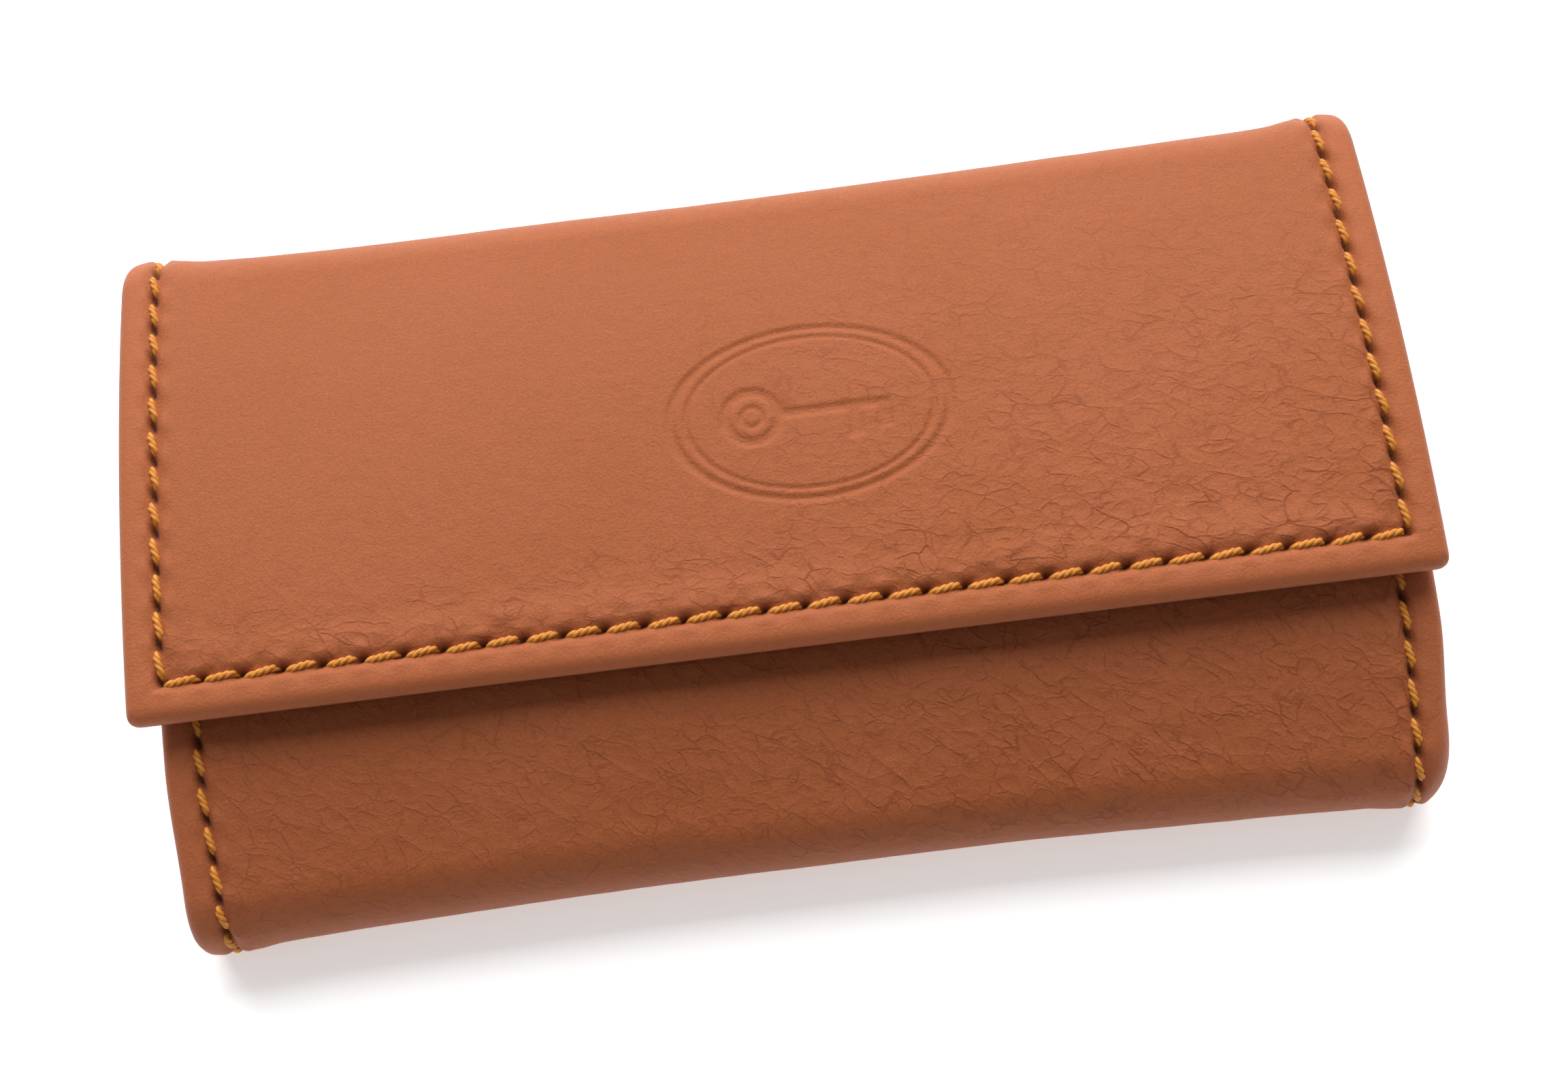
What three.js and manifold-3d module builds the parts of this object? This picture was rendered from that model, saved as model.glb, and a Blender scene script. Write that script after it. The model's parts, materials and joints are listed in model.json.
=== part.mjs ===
// A tri-fold leather key case, closed: a long strip of leather folds under, round and over a row of
// swivelling key hooks. Millimetres, +Z up, +X along the case, +Y towards the hinge of the flap.
// The origin is at the middle of the back panel's outer face, which lies on the table.
import * as THREE from "three";
import { mergeVertices } from "three/addons/utils/BufferGeometryUtils.js";
import Module from "manifold-3d";

const wasm = await Module();
wasm.setup();

// ---------------------------------------------------------------- driving dimensions

const CASE_WIDTH = 110; // the flap, its fold and the back panel
const FRONT_WIDTH = 107.5; // the front panel and its fold, a little narrower so that the flap covers it

// The outer face of the leather, as two runs from the middle of the back: each is a straight, a lower
// crease, a straight spine, an upper crease, and a gently crowned panel that ends in a free edge.
const REAR_RUN = { base: 26.3, crease: 5.0, spine: 7.2, lower: 90, upper: 81, crown: 143, sweep: 16.6 };
const FRONT_RUN = { base: 26.5, crease: 4.8, spine: 0.8, lower: 90, upper: 71.5, crown: 110, sweep: 15.5 };
const CREASE_STEPS = 6;
const CROWN_STEPS = 6;
const CREASE_GAP = 0.15; // each side of a cut between two rigid lengths of the strip

// Depths below the outer face.
const OUTER_LEATHER = 1.1;
const BOARD = { top: 1.2, bottom: 1.75 };
const LINING = { top: 1.85, bottom: 2.6 };
const EDGE_THICKNESS = 2.7; // where the leather turns round the edge
const TURNED_EDGE = 1.3;
const LAYER_GAP = 0.25;
const BOARD_INSET = 5.0;
const BOARD_FOLD_MARGIN = 1.0;

const SEAM_INSET = 3.2;
const GROOVE = { width: 1.0, depth: 0.5 };
const THREAD = { width: 0.8, depth: 0.42 };

// Press stud near the flap's free edge, on an axis square to the two panels it joins. The depths are below
// the flap's outer face for its half, and below the front panel's outer face for the other half.
const SNAP = { y: -6.8, tilt: 5.6, flapHole: 4.9, shankHole: 1.5, recess: 4.2, recessDepth: 0.65 };
const SNAP_CAP = { radius: 4.3, top: 1.3, bottom: 1.55 };
const SOCKET = { radius: 4.4, cavity: 3.1, top: 1.7, roof: 1.95, bottom: 2.95 };
const STUD = { flange: 3.8, head: 1.9, shank: 1.2, flangeTop: 0.15, flangeBottom: 0.45, rise: 0.9 };
const STUD_WASHER = { radius: 3.0, bore: 1.5, top: 2.8, bottom: 3.25 };

// Hook rail: a plate riveted to the back lining, with lugs that carry the rod the hooks hang on.
const RAIL = { length: 69, front: 14.5, back: 23.9, thickness: 0.8, corner: 2.2, bottom: 2.7 };
const ROD = { y: 16.1, z: 7.4, radius: 0.7, length: 67.2 };
const LUG = { thickness: 0.8, depth: 3.6, hole: 1.0 };
const RIVET = { x: 24, y: 20.8, head: 2.5, headHeight: 0.75, shank: 1.3, hole: 1.6, flange: 2.2 };
const RIVET_BOARD_HOLE = 2.6;

// Hooks, in their own frame: x across, y back along the case, origin where the rod passes.
const HOOK_COUNT = 6;
const HOOK_PITCH = 10.8;
const LINK = { barrel: 1.7, bore: 1.0, width: 4.4, armInside: 1.5, armHeight: 2.2, crossHeight: 2.8 };
const CROSS_PLATE = { from: 5.1, to: 5.8 }; // joins the link's arms and holds the hook's stem
const STEM = { radius: 0.55, hole: 0.9, head: 1.15, headStart: 4.1, headEnd: 4.8, collar: 1.35 };
const BODY = { top: 6.7, collarStart: 6.1, shoulder: 9.6, tip: 19.5, half: 4.2, frame: 1.3, thickness: 2.4 };
const GATE = { x: 2.85, y: 9.0, eye: 1.0, bore: 0.6, halfThick: 0.5, tipX: 1.7, tipY: 17.0 };
const GATE_PIN = { radius: 0.38, play: 0.14 };
const GATE_SLOT = { inner: 0.6, half: 0.78, above: 0.35 }; // between the two cheeks that hold the pin
const CLAW = { open: 10.5, nose: 16.5, inner: 1.2 }; // the gap that the gate closes
const ROUND = 14; // sides of a small turned piece

// ---------------------------------------------------------------- materials

const material = (color, roughness, metalness) =>
  new THREE.MeshStandardMaterial({ color, roughness, metalness });
const COGNAC = material(0xc1704e, 0.55, 0);
const LINING_SUEDE = material(0x8a5238, 0.85, 0);
const BOARD_GREY = material(0xb9ad99, 0.9, 0);
const THREAD_GOLD = material(0xc98a3c, 0.6, 0);
const NICKEL = material(0xcfcdc8, 0.25, 1);
const STEEL = material(0xb8b9bb, 0.3, 1);

// ---------------------------------------------------------------- solids

function solidOf(geometry) {
  const bare = geometry.index ? geometry.toNonIndexed() : geometry.clone();
  bare.deleteAttribute("normal");
  bare.deleteAttribute("uv");
  const merged = mergeVertices(bare, 1e-4);
  return new wasm.Manifold(
    new wasm.Mesh({
      numProp: 3,
      vertProperties: new Float32Array(merged.attributes.position.array),
      triVerts: new Uint32Array(merged.index.array),
    }),
  );
}

function meshOf(name, solid, surface) {
  const { vertProperties, triVerts, numProp } = solid.getMesh();
  const points = [];
  for (let i = 0; i < vertProperties.length; i += numProp) {
    points.push(vertProperties[i], vertProperties[i + 1], vertProperties[i + 2]);
  }
  const geometry = new THREE.BufferGeometry();
  geometry.setAttribute("position", new THREE.Float32BufferAttribute(points, 3));
  geometry.setIndex([...triVerts]);
  geometry.computeVertexNormals();
  const mesh = new THREE.Mesh(geometry, surface);
  mesh.name = name;
  return mesh;
}

function shapeOf(points) {
  return new THREE.Shape(points.map(([u, v]) => new THREE.Vector2(u, v)));
}

// A section drawn in (y, z) and extruded along x, narrowed by a factor that depends on y.
function prismAlongX(points, xFrom, xTo, narrowing = () => 1) {
  const geometry = new THREE.ExtrudeGeometry(shapeOf(points), { depth: xTo - xFrom, bevelEnabled: false });
  const axes = new THREE.Matrix4().makeBasis(
    new THREE.Vector3(0, 1, 0),
    new THREE.Vector3(0, 0, 1),
    new THREE.Vector3(1, 0, 0),
  );
  geometry.applyMatrix4(axes);
  geometry.translate(xFrom, 0, 0);
  const position = geometry.attributes.position;
  for (let i = 0; i < position.count; i++) position.setX(i, position.getX(i) * narrowing(position.getY(i)));
  return solidOf(geometry);
}

// An outline drawn in (x, y) and extruded along z.
function plate(shape, zFrom, zTo) {
  const geometry = new THREE.ExtrudeGeometry(shape, {
    depth: zTo - zFrom,
    bevelEnabled: false,
    curveSegments: 5,
  });
  geometry.translate(0, 0, zFrom);
  return solidOf(geometry);
}

function box(xFrom, xTo, yFrom, yTo, zFrom, zTo) {
  const geometry = new THREE.BoxGeometry(xTo - xFrom, yTo - yFrom, zTo - zFrom);
  geometry.translate((xFrom + xTo) / 2, (yFrom + yTo) / 2, (zFrom + zTo) / 2);
  return solidOf(geometry);
}

function cylinder(axis, radius, from, to, centre, sides = ROUND) {
  const geometry = new THREE.CylinderGeometry(radius, radius, to - from, sides);
  geometry.translate(0, (from + to) / 2, 0);
  if (axis === "x") geometry.rotateZ(-Math.PI / 2);
  if (axis === "z") geometry.rotateX(Math.PI / 2);
  geometry.translate(...centre);
  return solidOf(geometry);
}

const union = (solids) => solids.reduce((all, next) => all.add(next));

// ---------------------------------------------------------------- the folded strip

// Corners of one run of the strip's outer face, by arc length. Side is +1 to the rear, -1 to the front.
function runCorners(run, side) {
  const corners = [{ s: 0, y: 0, z: 0 }];
  let heading = 0;
  const step = (length, turn) => {
    const last = corners.at(-1);
    heading += turn / 2;
    corners.push({
      s: last.s + length,
      y: last.y + side * length * Math.cos(heading),
      z: last.z + length * Math.sin(heading),
    });
    heading += turn / 2;
  };
  const arc = (radius, degrees, steps) => {
    const turn = THREE.MathUtils.degToRad(degrees) / steps;
    for (let i = 0; i < steps; i++) step(2 * radius * Math.sin(turn / 2), turn);
  };
  step(run.base, 0);
  arc(run.crease, run.lower, CREASE_STEPS);
  step(run.spine, 0);
  arc(run.crease, run.upper, CREASE_STEPS);
  arc(run.crown, run.sweep, CROWN_STEPS);
  return corners;
}

// Each corner's inward direction, scaled so that an offset along it keeps the layer's thickness.
function withInward(corners, side) {
  const direction = (a, b) => {
    const length = Math.hypot(b.y - a.y, b.z - a.z);
    return [(b.y - a.y) / length, (b.z - a.z) / length];
  };
  return corners.map((corner, i) => {
    const before = direction(corners[Math.max(i - 1, 0)], corners[Math.max(i, 1)]);
    const after = i < corners.length - 1 ? direction(corner, corners[i + 1]) : before;
    const sum = [before[0] + after[0], before[1] + after[1]];
    const share = 2 / (sum[0] ** 2 + sum[1] ** 2);
    return { ...corner, inY: -side * sum[1] * share, inZ: side * sum[0] * share };
  });
}

function run(dimensions, side) {
  const corners = withInward(runCorners(dimensions, side), side);
  const creaseMiddle = (first) => {
    const middle = corners[first + CREASE_STEPS / 2];
    return { s: middle.s, y: middle.y, z: middle.z };
  };
  return {
    corners,
    end: corners.at(-1).s,
    lowerCrease: creaseMiddle(1),
    upperCrease: creaseMiddle(2 + CREASE_STEPS),
    panelStart: corners[2 + 2 * CREASE_STEPS].s,
  };
}

const rear = run(REAR_RUN, 1);
const front = run(FRONT_RUN, -1);

// The point at arc length s along a run and a depth below the outer face.
function pointAt(path, s, depth) {
  const { corners } = path;
  let i = corners.findIndex((corner) => corner.s >= s);
  if (i < 1) i = s <= 0 ? 1 : corners.length - 1;
  const [a, b] = [corners[i - 1], corners[i]];
  const t = (s - a.s) / (b.s - a.s);
  const mix = (key, inward) => (1 - t) * (a[key] + depth * a[inward]) + t * (b[key] + depth * b[inward]);
  return [mix("y", "inY"), mix("z", "inZ")];
}

// A length of the strip between two arc lengths, two depths and two places across the case.
function strip(path, from, to, top, bottom, xFrom, xTo) {
  const inside = path.corners.map((corner) => corner.s).filter((s) => s > from + 0.01 && s < to - 0.01);
  const stations = [from, ...inside, to];
  const outline = [
    ...stations.map((s) => pointAt(path, s, top)),
    ...stations.toReversed().map((s) => pointAt(path, s, bottom)),
  ];
  return prismAlongX(outline, xFrom, xTo);
}

const rearHalf = CASE_WIDTH / 2;
const frontHalf = FRONT_WIDTH / 2;

// The back panel is as wide as the flap at the rear and as the front panel at the front.
function backNarrowing(y) {
  const t = THREE.MathUtils.clamp((REAR_RUN.base - y) / (REAR_RUN.base + FRONT_RUN.base), 0, 1);
  return 1 + (frontHalf / rearHalf - 1) * t;
}

// The back panel's layers lie flat between the lower creases, where the strip turns up at both ends.
function backStrip(top, bottom, xFrom, xTo, past = 0) {
  const outline = (path, end, depth) => {
    const stations = path.corners.map((corner) => corner.s).filter((s) => s > 0 && s < end - 0.01);
    return [...stations, end].map((s) => pointAt(path, s, depth));
  };
  const rearEnd = rear.lowerCrease.s - CREASE_GAP + past;
  const frontEnd = front.lowerCrease.s - CREASE_GAP + past;
  const points = [
    ...outline(front, frontEnd, top).toReversed(),
    ...outline(rear, rearEnd, top),
    ...outline(rear, rearEnd, bottom).toReversed(),
    ...outline(front, frontEnd, bottom),
  ];
  return prismAlongX(points, xFrom, xTo, backNarrowing);
}

const rearSpine = [rear.lowerCrease.s + CREASE_GAP, rear.upperCrease.s - CREASE_GAP];
const frontSpine = [front.lowerCrease.s + CREASE_GAP, front.upperCrease.s - CREASE_GAP];
const flapStart = rear.upperCrease.s + CREASE_GAP;
const panelStart = front.upperCrease.s + CREASE_GAP;

// Leather whose side edges, and its free edge if it has one, turn down to the full thickness.
function turnedLeather(path, from, to, half, freeEdge) {
  const pocketEnd = freeEdge ? to - TURNED_EDGE : to + 1;
  const pocketHalf = half - TURNED_EDGE;
  const pocketFloor = EDGE_THICKNESS + 0.5;
  const pocket = strip(path, from - 1, pocketEnd, OUTER_LEATHER, pocketFloor, -pocketHalf, pocketHalf);
  return strip(path, from, to, 0, EDGE_THICKNESS, -half, half).subtract(pocket);
}

function liningOf(path, from, to, half, freeEdge) {
  const end = freeEdge ? to - TURNED_EDGE - LAYER_GAP : to;
  const inner = half - TURNED_EDGE - LAYER_GAP;
  return strip(path, from, end, LINING.top, LINING.bottom, -inner, inner);
}

function boardOf(path, half) {
  const inner = half - BOARD_INSET;
  const from = path.panelStart + BOARD_FOLD_MARGIN;
  return strip(path, from, path.end - BOARD_INSET, BOARD.top, BOARD.bottom, -inner, inner);
}

// The seam runs up one side, along the free edge if there is one, and down the other.
function seam(path, from, to, half, size, freeEdge) {
  const line = half - SEAM_INSET;
  const reach = line + size.width / 2;
  const end = freeEdge ? to - SEAM_INSET + size.width / 2 : to;
  const solids = [-1, 1].map((side) => {
    const [low, high] = [side * line - size.width / 2, side * line + size.width / 2];
    return strip(path, from, end, size.top, size.depth, low, high);
  });
  if (freeEdge) solids.push(strip(path, end - size.width, end, size.top, size.depth, -reach, reach));
  return solids;
}

const grooveSize = { ...GROOVE, top: -0.5, past: 0.5 };
const threadSize = { ...THREAD, top: 0.02, past: 0 };

function grooved(leather, path, from, to, half, freeEdge) {
  const end = freeEdge ? to : to + grooveSize.past;
  return leather.subtract(union(seam(path, from - grooveSize.past, end, half, grooveSize, freeEdge)));
}

// ---------------------------------------------------------------- case nodes

// Height of a run's face above a place on the back, for pieces that stand on it.
function heightAt(path, y, depth) {
  let best = path.panelStart;
  for (let s = path.panelStart; s <= path.end; s += 0.05) {
    if (Math.abs(pointAt(path, s, depth)[0] - y) < Math.abs(pointAt(path, best, depth)[0] - y)) best = s;
  }
  return pointAt(path, best, depth)[1];
}

const snapFlapZ = heightAt(rear, SNAP.y, 0);
const snapFrontZ = heightAt(front, SNAP.y, 0);

// A disc on the press stud's axis, between two heights on that axis.
function snapDisc(radius, from, to, sides = 16) {
  const geometry = new THREE.CylinderGeometry(radius, radius, to - from, sides);
  geometry.rotateX(Math.PI / 2);
  geometry.translate(0, 0, (from + to) / 2 - snapFlapZ);
  geometry.rotateX(THREE.MathUtils.degToRad(SNAP.tilt));
  geometry.translate(0, SNAP.y, snapFlapZ);
  return solidOf(geometry);
}

const railTop = RAIL.bottom + RAIL.thickness;

function rivetHoles(radius) {
  return union([-1, 1].map((side) => cylinder("z", radius, -1, 6, [side * RIVET.x, RIVET.y, 0])));
}

function backNodes() {
  const pocketHalf = rearHalf - TURNED_EDGE;
  const liningHalf = pocketHalf - LAYER_GAP;
  const boardHalf = frontHalf - BOARD_INSET;
  const seamLine = rearHalf - SEAM_INSET;
  const [leftGroove, rightGroove, leftThread, rightThread] = [grooveSize, threadSize].flatMap((size) =>
    [-1, 1].map((side) => {
      const [low, high] = [side * seamLine - size.width / 2, side * seamLine + size.width / 2];
      return backStrip(size.top, size.depth, low, high, size.past);
    }),
  );
  const leather = backStrip(0, EDGE_THICKNESS, -rearHalf, rearHalf)
    .subtract(backStrip(OUTER_LEATHER, EDGE_THICKNESS + 0.5, -pocketHalf, pocketHalf, 1))
    .subtract(leftGroove)
    .subtract(rightGroove);
  const lining = backStrip(LINING.top, LINING.bottom, -liningHalf, liningHalf)
    .subtract(rivetHoles(RIVET.hole));
  const board = box(
    -boardHalf, boardHalf,
    BOARD_FOLD_MARGIN - FRONT_RUN.base, REAR_RUN.base - BOARD_FOLD_MARGIN,
    BOARD.top, BOARD.bottom,
  ).subtract(rivetHoles(RIVET_BOARD_HOLE));
  return [
    meshOf("back_outer_leather", leather, COGNAC),
    meshOf("back_lining", lining, LINING_SUEDE),
    meshOf("back_stiffener_board", board, BOARD_GREY),
    meshOf("back_seam_left", leftThread, THREAD_GOLD),
    meshOf("back_seam_right", rightThread, THREAD_GOLD),
  ];
}

function spineNodes(name, path, [from, to], half) {
  const leather = grooved(turnedLeather(path, from, to, half, false), path, from, to, half, false);
  const [left, right] = seam(path, from, to, half, threadSize, false);
  return [
    meshOf(`${name}_outer_leather`, leather, COGNAC),
    meshOf(`${name}_lining`, liningOf(path, from, to, half, false), LINING_SUEDE),
    meshOf(`${name}_seam_left`, left, THREAD_GOLD),
    meshOf(`${name}_seam_right`, right, THREAD_GOLD),
  ];
}

function flapNodes() {
  const whole = turnedLeather(rear, flapStart, rear.end, rearHalf, true);
  const hole = snapDisc(SNAP.flapHole, snapFlapZ - 5, snapFlapZ + 1, 20);
  const lining = liningOf(rear, flapStart, rear.end, rearHalf, true).subtract(hole);
  const thread = union(seam(rear, flapStart, rear.end, rearHalf, threadSize, true));
  return [
    meshOf("flap_outer_leather", grooved(whole, rear, flapStart, rear.end, rearHalf, true), COGNAC),
    meshOf("flap_stiffener_board", boardOf(rear, rearHalf).subtract(hole), BOARD_GREY),
    meshOf("flap_lining", lining, LINING_SUEDE),
    meshOf("flap_seam", thread, THREAD_GOLD),
  ];
}

function frontPanelNodes() {
  const whole = turnedLeather(front, panelStart, front.end, frontHalf, true);
  const hole = snapDisc(SNAP.shankHole, snapFrontZ - 5, snapFrontZ + 1, 12);
  const recess = snapDisc(SNAP.recess, snapFrontZ - SNAP.recessDepth, snapFrontZ + 1, 20);
  const leather = grooved(whole, front, panelStart, front.end, frontHalf, true)
    .subtract(hole)
    .subtract(recess);
  const lining = liningOf(front, panelStart, front.end, frontHalf, true).subtract(hole);
  const thread = union(seam(front, panelStart, front.end, frontHalf, threadSize, true));
  return [
    meshOf("front_panel_outer_leather", leather, COGNAC),
    meshOf("front_panel_stiffener_board", boardOf(front, frontHalf).subtract(hole), BOARD_GREY),
    meshOf("front_panel_lining", lining, LINING_SUEDE),
    meshOf("front_panel_seam", thread, THREAD_GOLD),
  ];
}

// ---------------------------------------------------------------- press stud

function snapNodes() {
  const flapDisc = (radius, top, bottom, sides) =>
    snapDisc(radius, snapFlapZ - bottom, snapFlapZ - top, sides);
  const frontDisc = (radius, top, bottom, sides) =>
    snapDisc(radius, snapFrontZ - bottom, snapFrontZ - top, sides);
  const socket = flapDisc(SOCKET.radius, SOCKET.top, SOCKET.bottom, 20)
    .subtract(flapDisc(SOCKET.cavity, SOCKET.roof, SOCKET.bottom + 1));
  const stud = union([
    frontDisc(STUD.flange, STUD.flangeTop, STUD.flangeBottom, 20),
    frontDisc(STUD.head, -STUD.rise, STUD.flangeTop + 0.1),
    frontDisc(STUD.shank, STUD.flangeBottom - 0.1, STUD_WASHER.bottom, 12),
  ]);
  const washer = frontDisc(STUD_WASHER.radius, STUD_WASHER.top, STUD_WASHER.bottom)
    .subtract(frontDisc(STUD_WASHER.bore, STUD_WASHER.top - 1, STUD_WASHER.bottom + 1, 12));
  return {
    flap: [
      meshOf("snap_socket", socket, NICKEL),
      meshOf("snap_socket_cap", flapDisc(SNAP_CAP.radius, SNAP_CAP.top, SNAP_CAP.bottom, 20), NICKEL),
    ],
    front: [meshOf("snap_stud", stud, NICKEL), meshOf("snap_stud_washer", washer, NICKEL)],
  };
}

// ---------------------------------------------------------------- hook rail

function roundedPlate(xHalf, yFrom, yTo, radius) {
  const shape = new THREE.Shape();
  shape.absarc(xHalf - radius, yFrom + radius, radius, -Math.PI / 2, 0, false);
  shape.absarc(xHalf - radius, yTo - radius, radius, 0, Math.PI / 2, false);
  shape.absarc(-xHalf + radius, yTo - radius, radius, Math.PI / 2, Math.PI, false);
  shape.absarc(-xHalf + radius, yFrom + radius, radius, Math.PI, 1.5 * Math.PI, false);
  return shape;
}

function lug(x) {
  const half = LUG.depth / 2;
  const shape = new THREE.Shape();
  shape.moveTo(ROD.y - half, railTop - 0.3);
  shape.lineTo(ROD.y + half, railTop - 0.3);
  shape.lineTo(ROD.y + half, ROD.z);
  shape.absarc(ROD.y, ROD.z, half, 0, Math.PI, false);
  const outline = shape.getPoints(4).map(({ x: y, y: z }) => [y, z]);
  return prismAlongX(outline.slice(0, -1), x - LUG.thickness / 2, x + LUG.thickness / 2);
}

function railNodes() {
  const body = plate(roundedPlate(RAIL.length / 2, RAIL.front, RAIL.back, RAIL.corner), RAIL.bottom, railTop);
  const lugs = Array.from({ length: HOOK_COUNT + 1 }, (_, i) => lug((i - HOOK_COUNT / 2) * HOOK_PITCH));
  const rodHole = cylinder("x", LUG.hole, -RAIL.length, RAIL.length, [0, ROD.y, ROD.z]);
  const rail = union([body, ...lugs]).subtract(rodHole).subtract(rivetHoles(RIVET.hole));
  const rod = cylinder("x", ROD.radius, -ROD.length / 2, ROD.length / 2, [0, ROD.y, ROD.z]);
  const rivets = [-1, 1].map((side) => {
    const at = [side * RIVET.x, RIVET.y, 0];
    const solid = union([
      cylinder("z", RIVET.head, railTop + 0.05, railTop + RIVET.headHeight, at, 16),
      cylinder("z", RIVET.shank, BOARD.top + 0.1, railTop + 0.1, at),
      cylinder("z", RIVET.flange, BOARD.top, BOARD.bottom, at),
    ]);
    return meshOf(side < 0 ? "rail_rivet_left" : "rail_rivet_right", solid, NICKEL);
  });
  return [meshOf("hook_rail", rail, NICKEL), meshOf("hinge_rod", rod, STEEL), ...rivets];
}

// ---------------------------------------------------------------- one key hook, in its own frame

// The hook's parts are drawn pointing along -y from the rod.
function linkSolid() {
  const { barrel, bore, width, armInside, armHeight, crossHeight } = LINK;
  const half = width / 2;
  const arm = (xFrom, xTo) => box(xFrom, xTo, -CROSS_PLATE.to, 0, -armHeight / 2, armHeight / 2);
  const cross = box(-half, half, -CROSS_PLATE.to, -CROSS_PLATE.from, -crossHeight / 2, crossHeight / 2);
  const roll = cylinder("x", barrel, -half, half, [0, 0, 0]);
  return union([roll, arm(-half, -armInside), arm(armInside, half), cross])
    .subtract(cylinder("x", bore, -half - 1, half + 1, [0, 0, 0]))
    .subtract(cylinder("y", STEM.hole, -CROSS_PLATE.to - 1, -CROSS_PLATE.from + 1, [0, 0, 0]));
}

function hookOutline() {
  const { top, shoulder, tip, half, frame } = BODY;
  const bottomCentre = -(tip - half);
  const inner = half - frame;
  const shape = new THREE.Shape();
  shape.moveTo(1.5, -top);
  shape.quadraticCurveTo(half, -top - 0.3, half, -shoulder);
  shape.lineTo(half, bottomCentre);
  shape.absarc(0, bottomCentre, half, 0, -Math.PI, true);
  shape.lineTo(-half, -shoulder);
  shape.quadraticCurveTo(-half, -top - 0.3, -1.5, -top);
  const eye = new THREE.Path();
  eye.absarc(0, -shoulder - inner + 0.6, inner, 0, Math.PI, false);
  eye.absarc(0, bottomCentre, inner, Math.PI, 2 * Math.PI, false);
  shape.holes.push(eye);
  return shape;
}

function hookBodySolid() {
  const { thickness, collarStart, top, half } = BODY;
  const halfThick = thickness / 2;
  const ring = plate(hookOutline(), -halfThick, halfThick);
  const past = halfThick + 1;
  const slotTop = GATE.eye + GATE_SLOT.above - GATE.y;
  const gateGap = box(CLAW.inner, half + 1, -CLAW.nose, -CLAW.open, -past, past);
  const gateSlot = box(GATE_SLOT.inner, half + 1, -CLAW.nose, slotTop, -GATE_SLOT.half, GATE_SLOT.half);
  const pinHole = cylinder("z", GATE_PIN.radius + GATE_PIN.play, -past, past, [GATE.x, -GATE.y, 0], 10);
  const turned = [
    cylinder("y", STEM.head, -STEM.headEnd, -STEM.headStart, [0, 0, 0]),
    cylinder("y", STEM.radius, -top - 0.6, -STEM.headEnd + 0.1, [0, 0, 0]),
    cylinder("y", STEM.collar, -top - 0.6, -collarStart, [0, 0, 0]),
  ];
  return union([ring, ...turned]).subtract(union([gateGap, gateSlot, pinHole]));
}

function gateSolid() {
  const { x, y, eye, bore, halfThick, tipX, tipY } = GATE;
  const bar = shapeOf([
    [x - 0.9, -y], [x + 0.85, -y], [x + 0.6, -y - 1.6], [BODY.half, -y - 2.2], [BODY.half, -y - 3.4],
    [x + 0.15, -y - 4.0], [tipX + 0.5, -tipY], [tipX - 0.4, -tipY], [x - 0.95, -y - 3.0],
  ]);
  return union([plate(bar, -halfThick, halfThick), cylinder("z", eye, -halfThick, halfThick, [x, -y, 0])])
    .subtract(cylinder("z", bore, -1, 1, [x, -y, 0], 10));
}

function pinSolid() {
  const reach = BODY.thickness / 2;
  return cylinder("z", GATE_PIN.radius, -reach, reach, [GATE.x, -GATE.y, 0], 10);
}

function hookNodes(index) {
  const group = new THREE.Group();
  group.position.set((index - (HOOK_COUNT - 1) / 2) * HOOK_PITCH, ROD.y, ROD.z);
  const label = index + 1;
  group.add(
    meshOf(`hook_link_${label}`, linkSolid(), NICKEL),
    meshOf(`hook_body_${label}`, hookBodySolid(), NICKEL),
    meshOf(`hook_gate_${label}`, gateSolid(), STEEL),
    meshOf(`hook_gate_pin_${label}`, pinSolid(), STEEL),
  );
  return group;
}

// ---------------------------------------------------------------- assembly

const snap = snapNodes();
const keyCase = new THREE.Group();
keyCase.add(
  ...backNodes(),
  ...spineNodes("rear_spine", rear, rearSpine, rearHalf),
  ...flapNodes(),
  ...snap.flap,
  ...spineNodes("front_spine", front, frontSpine, frontHalf),
  ...frontPanelNodes(),
  ...snap.front,
  ...railNodes(),
  ...Array.from({ length: HOOK_COUNT }, (_, index) => hookNodes(index)),
);

export default keyCase;
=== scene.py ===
import json
import math

import bmesh
import bpy
import numpy as np
from mathutils import Matrix, Vector

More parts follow.
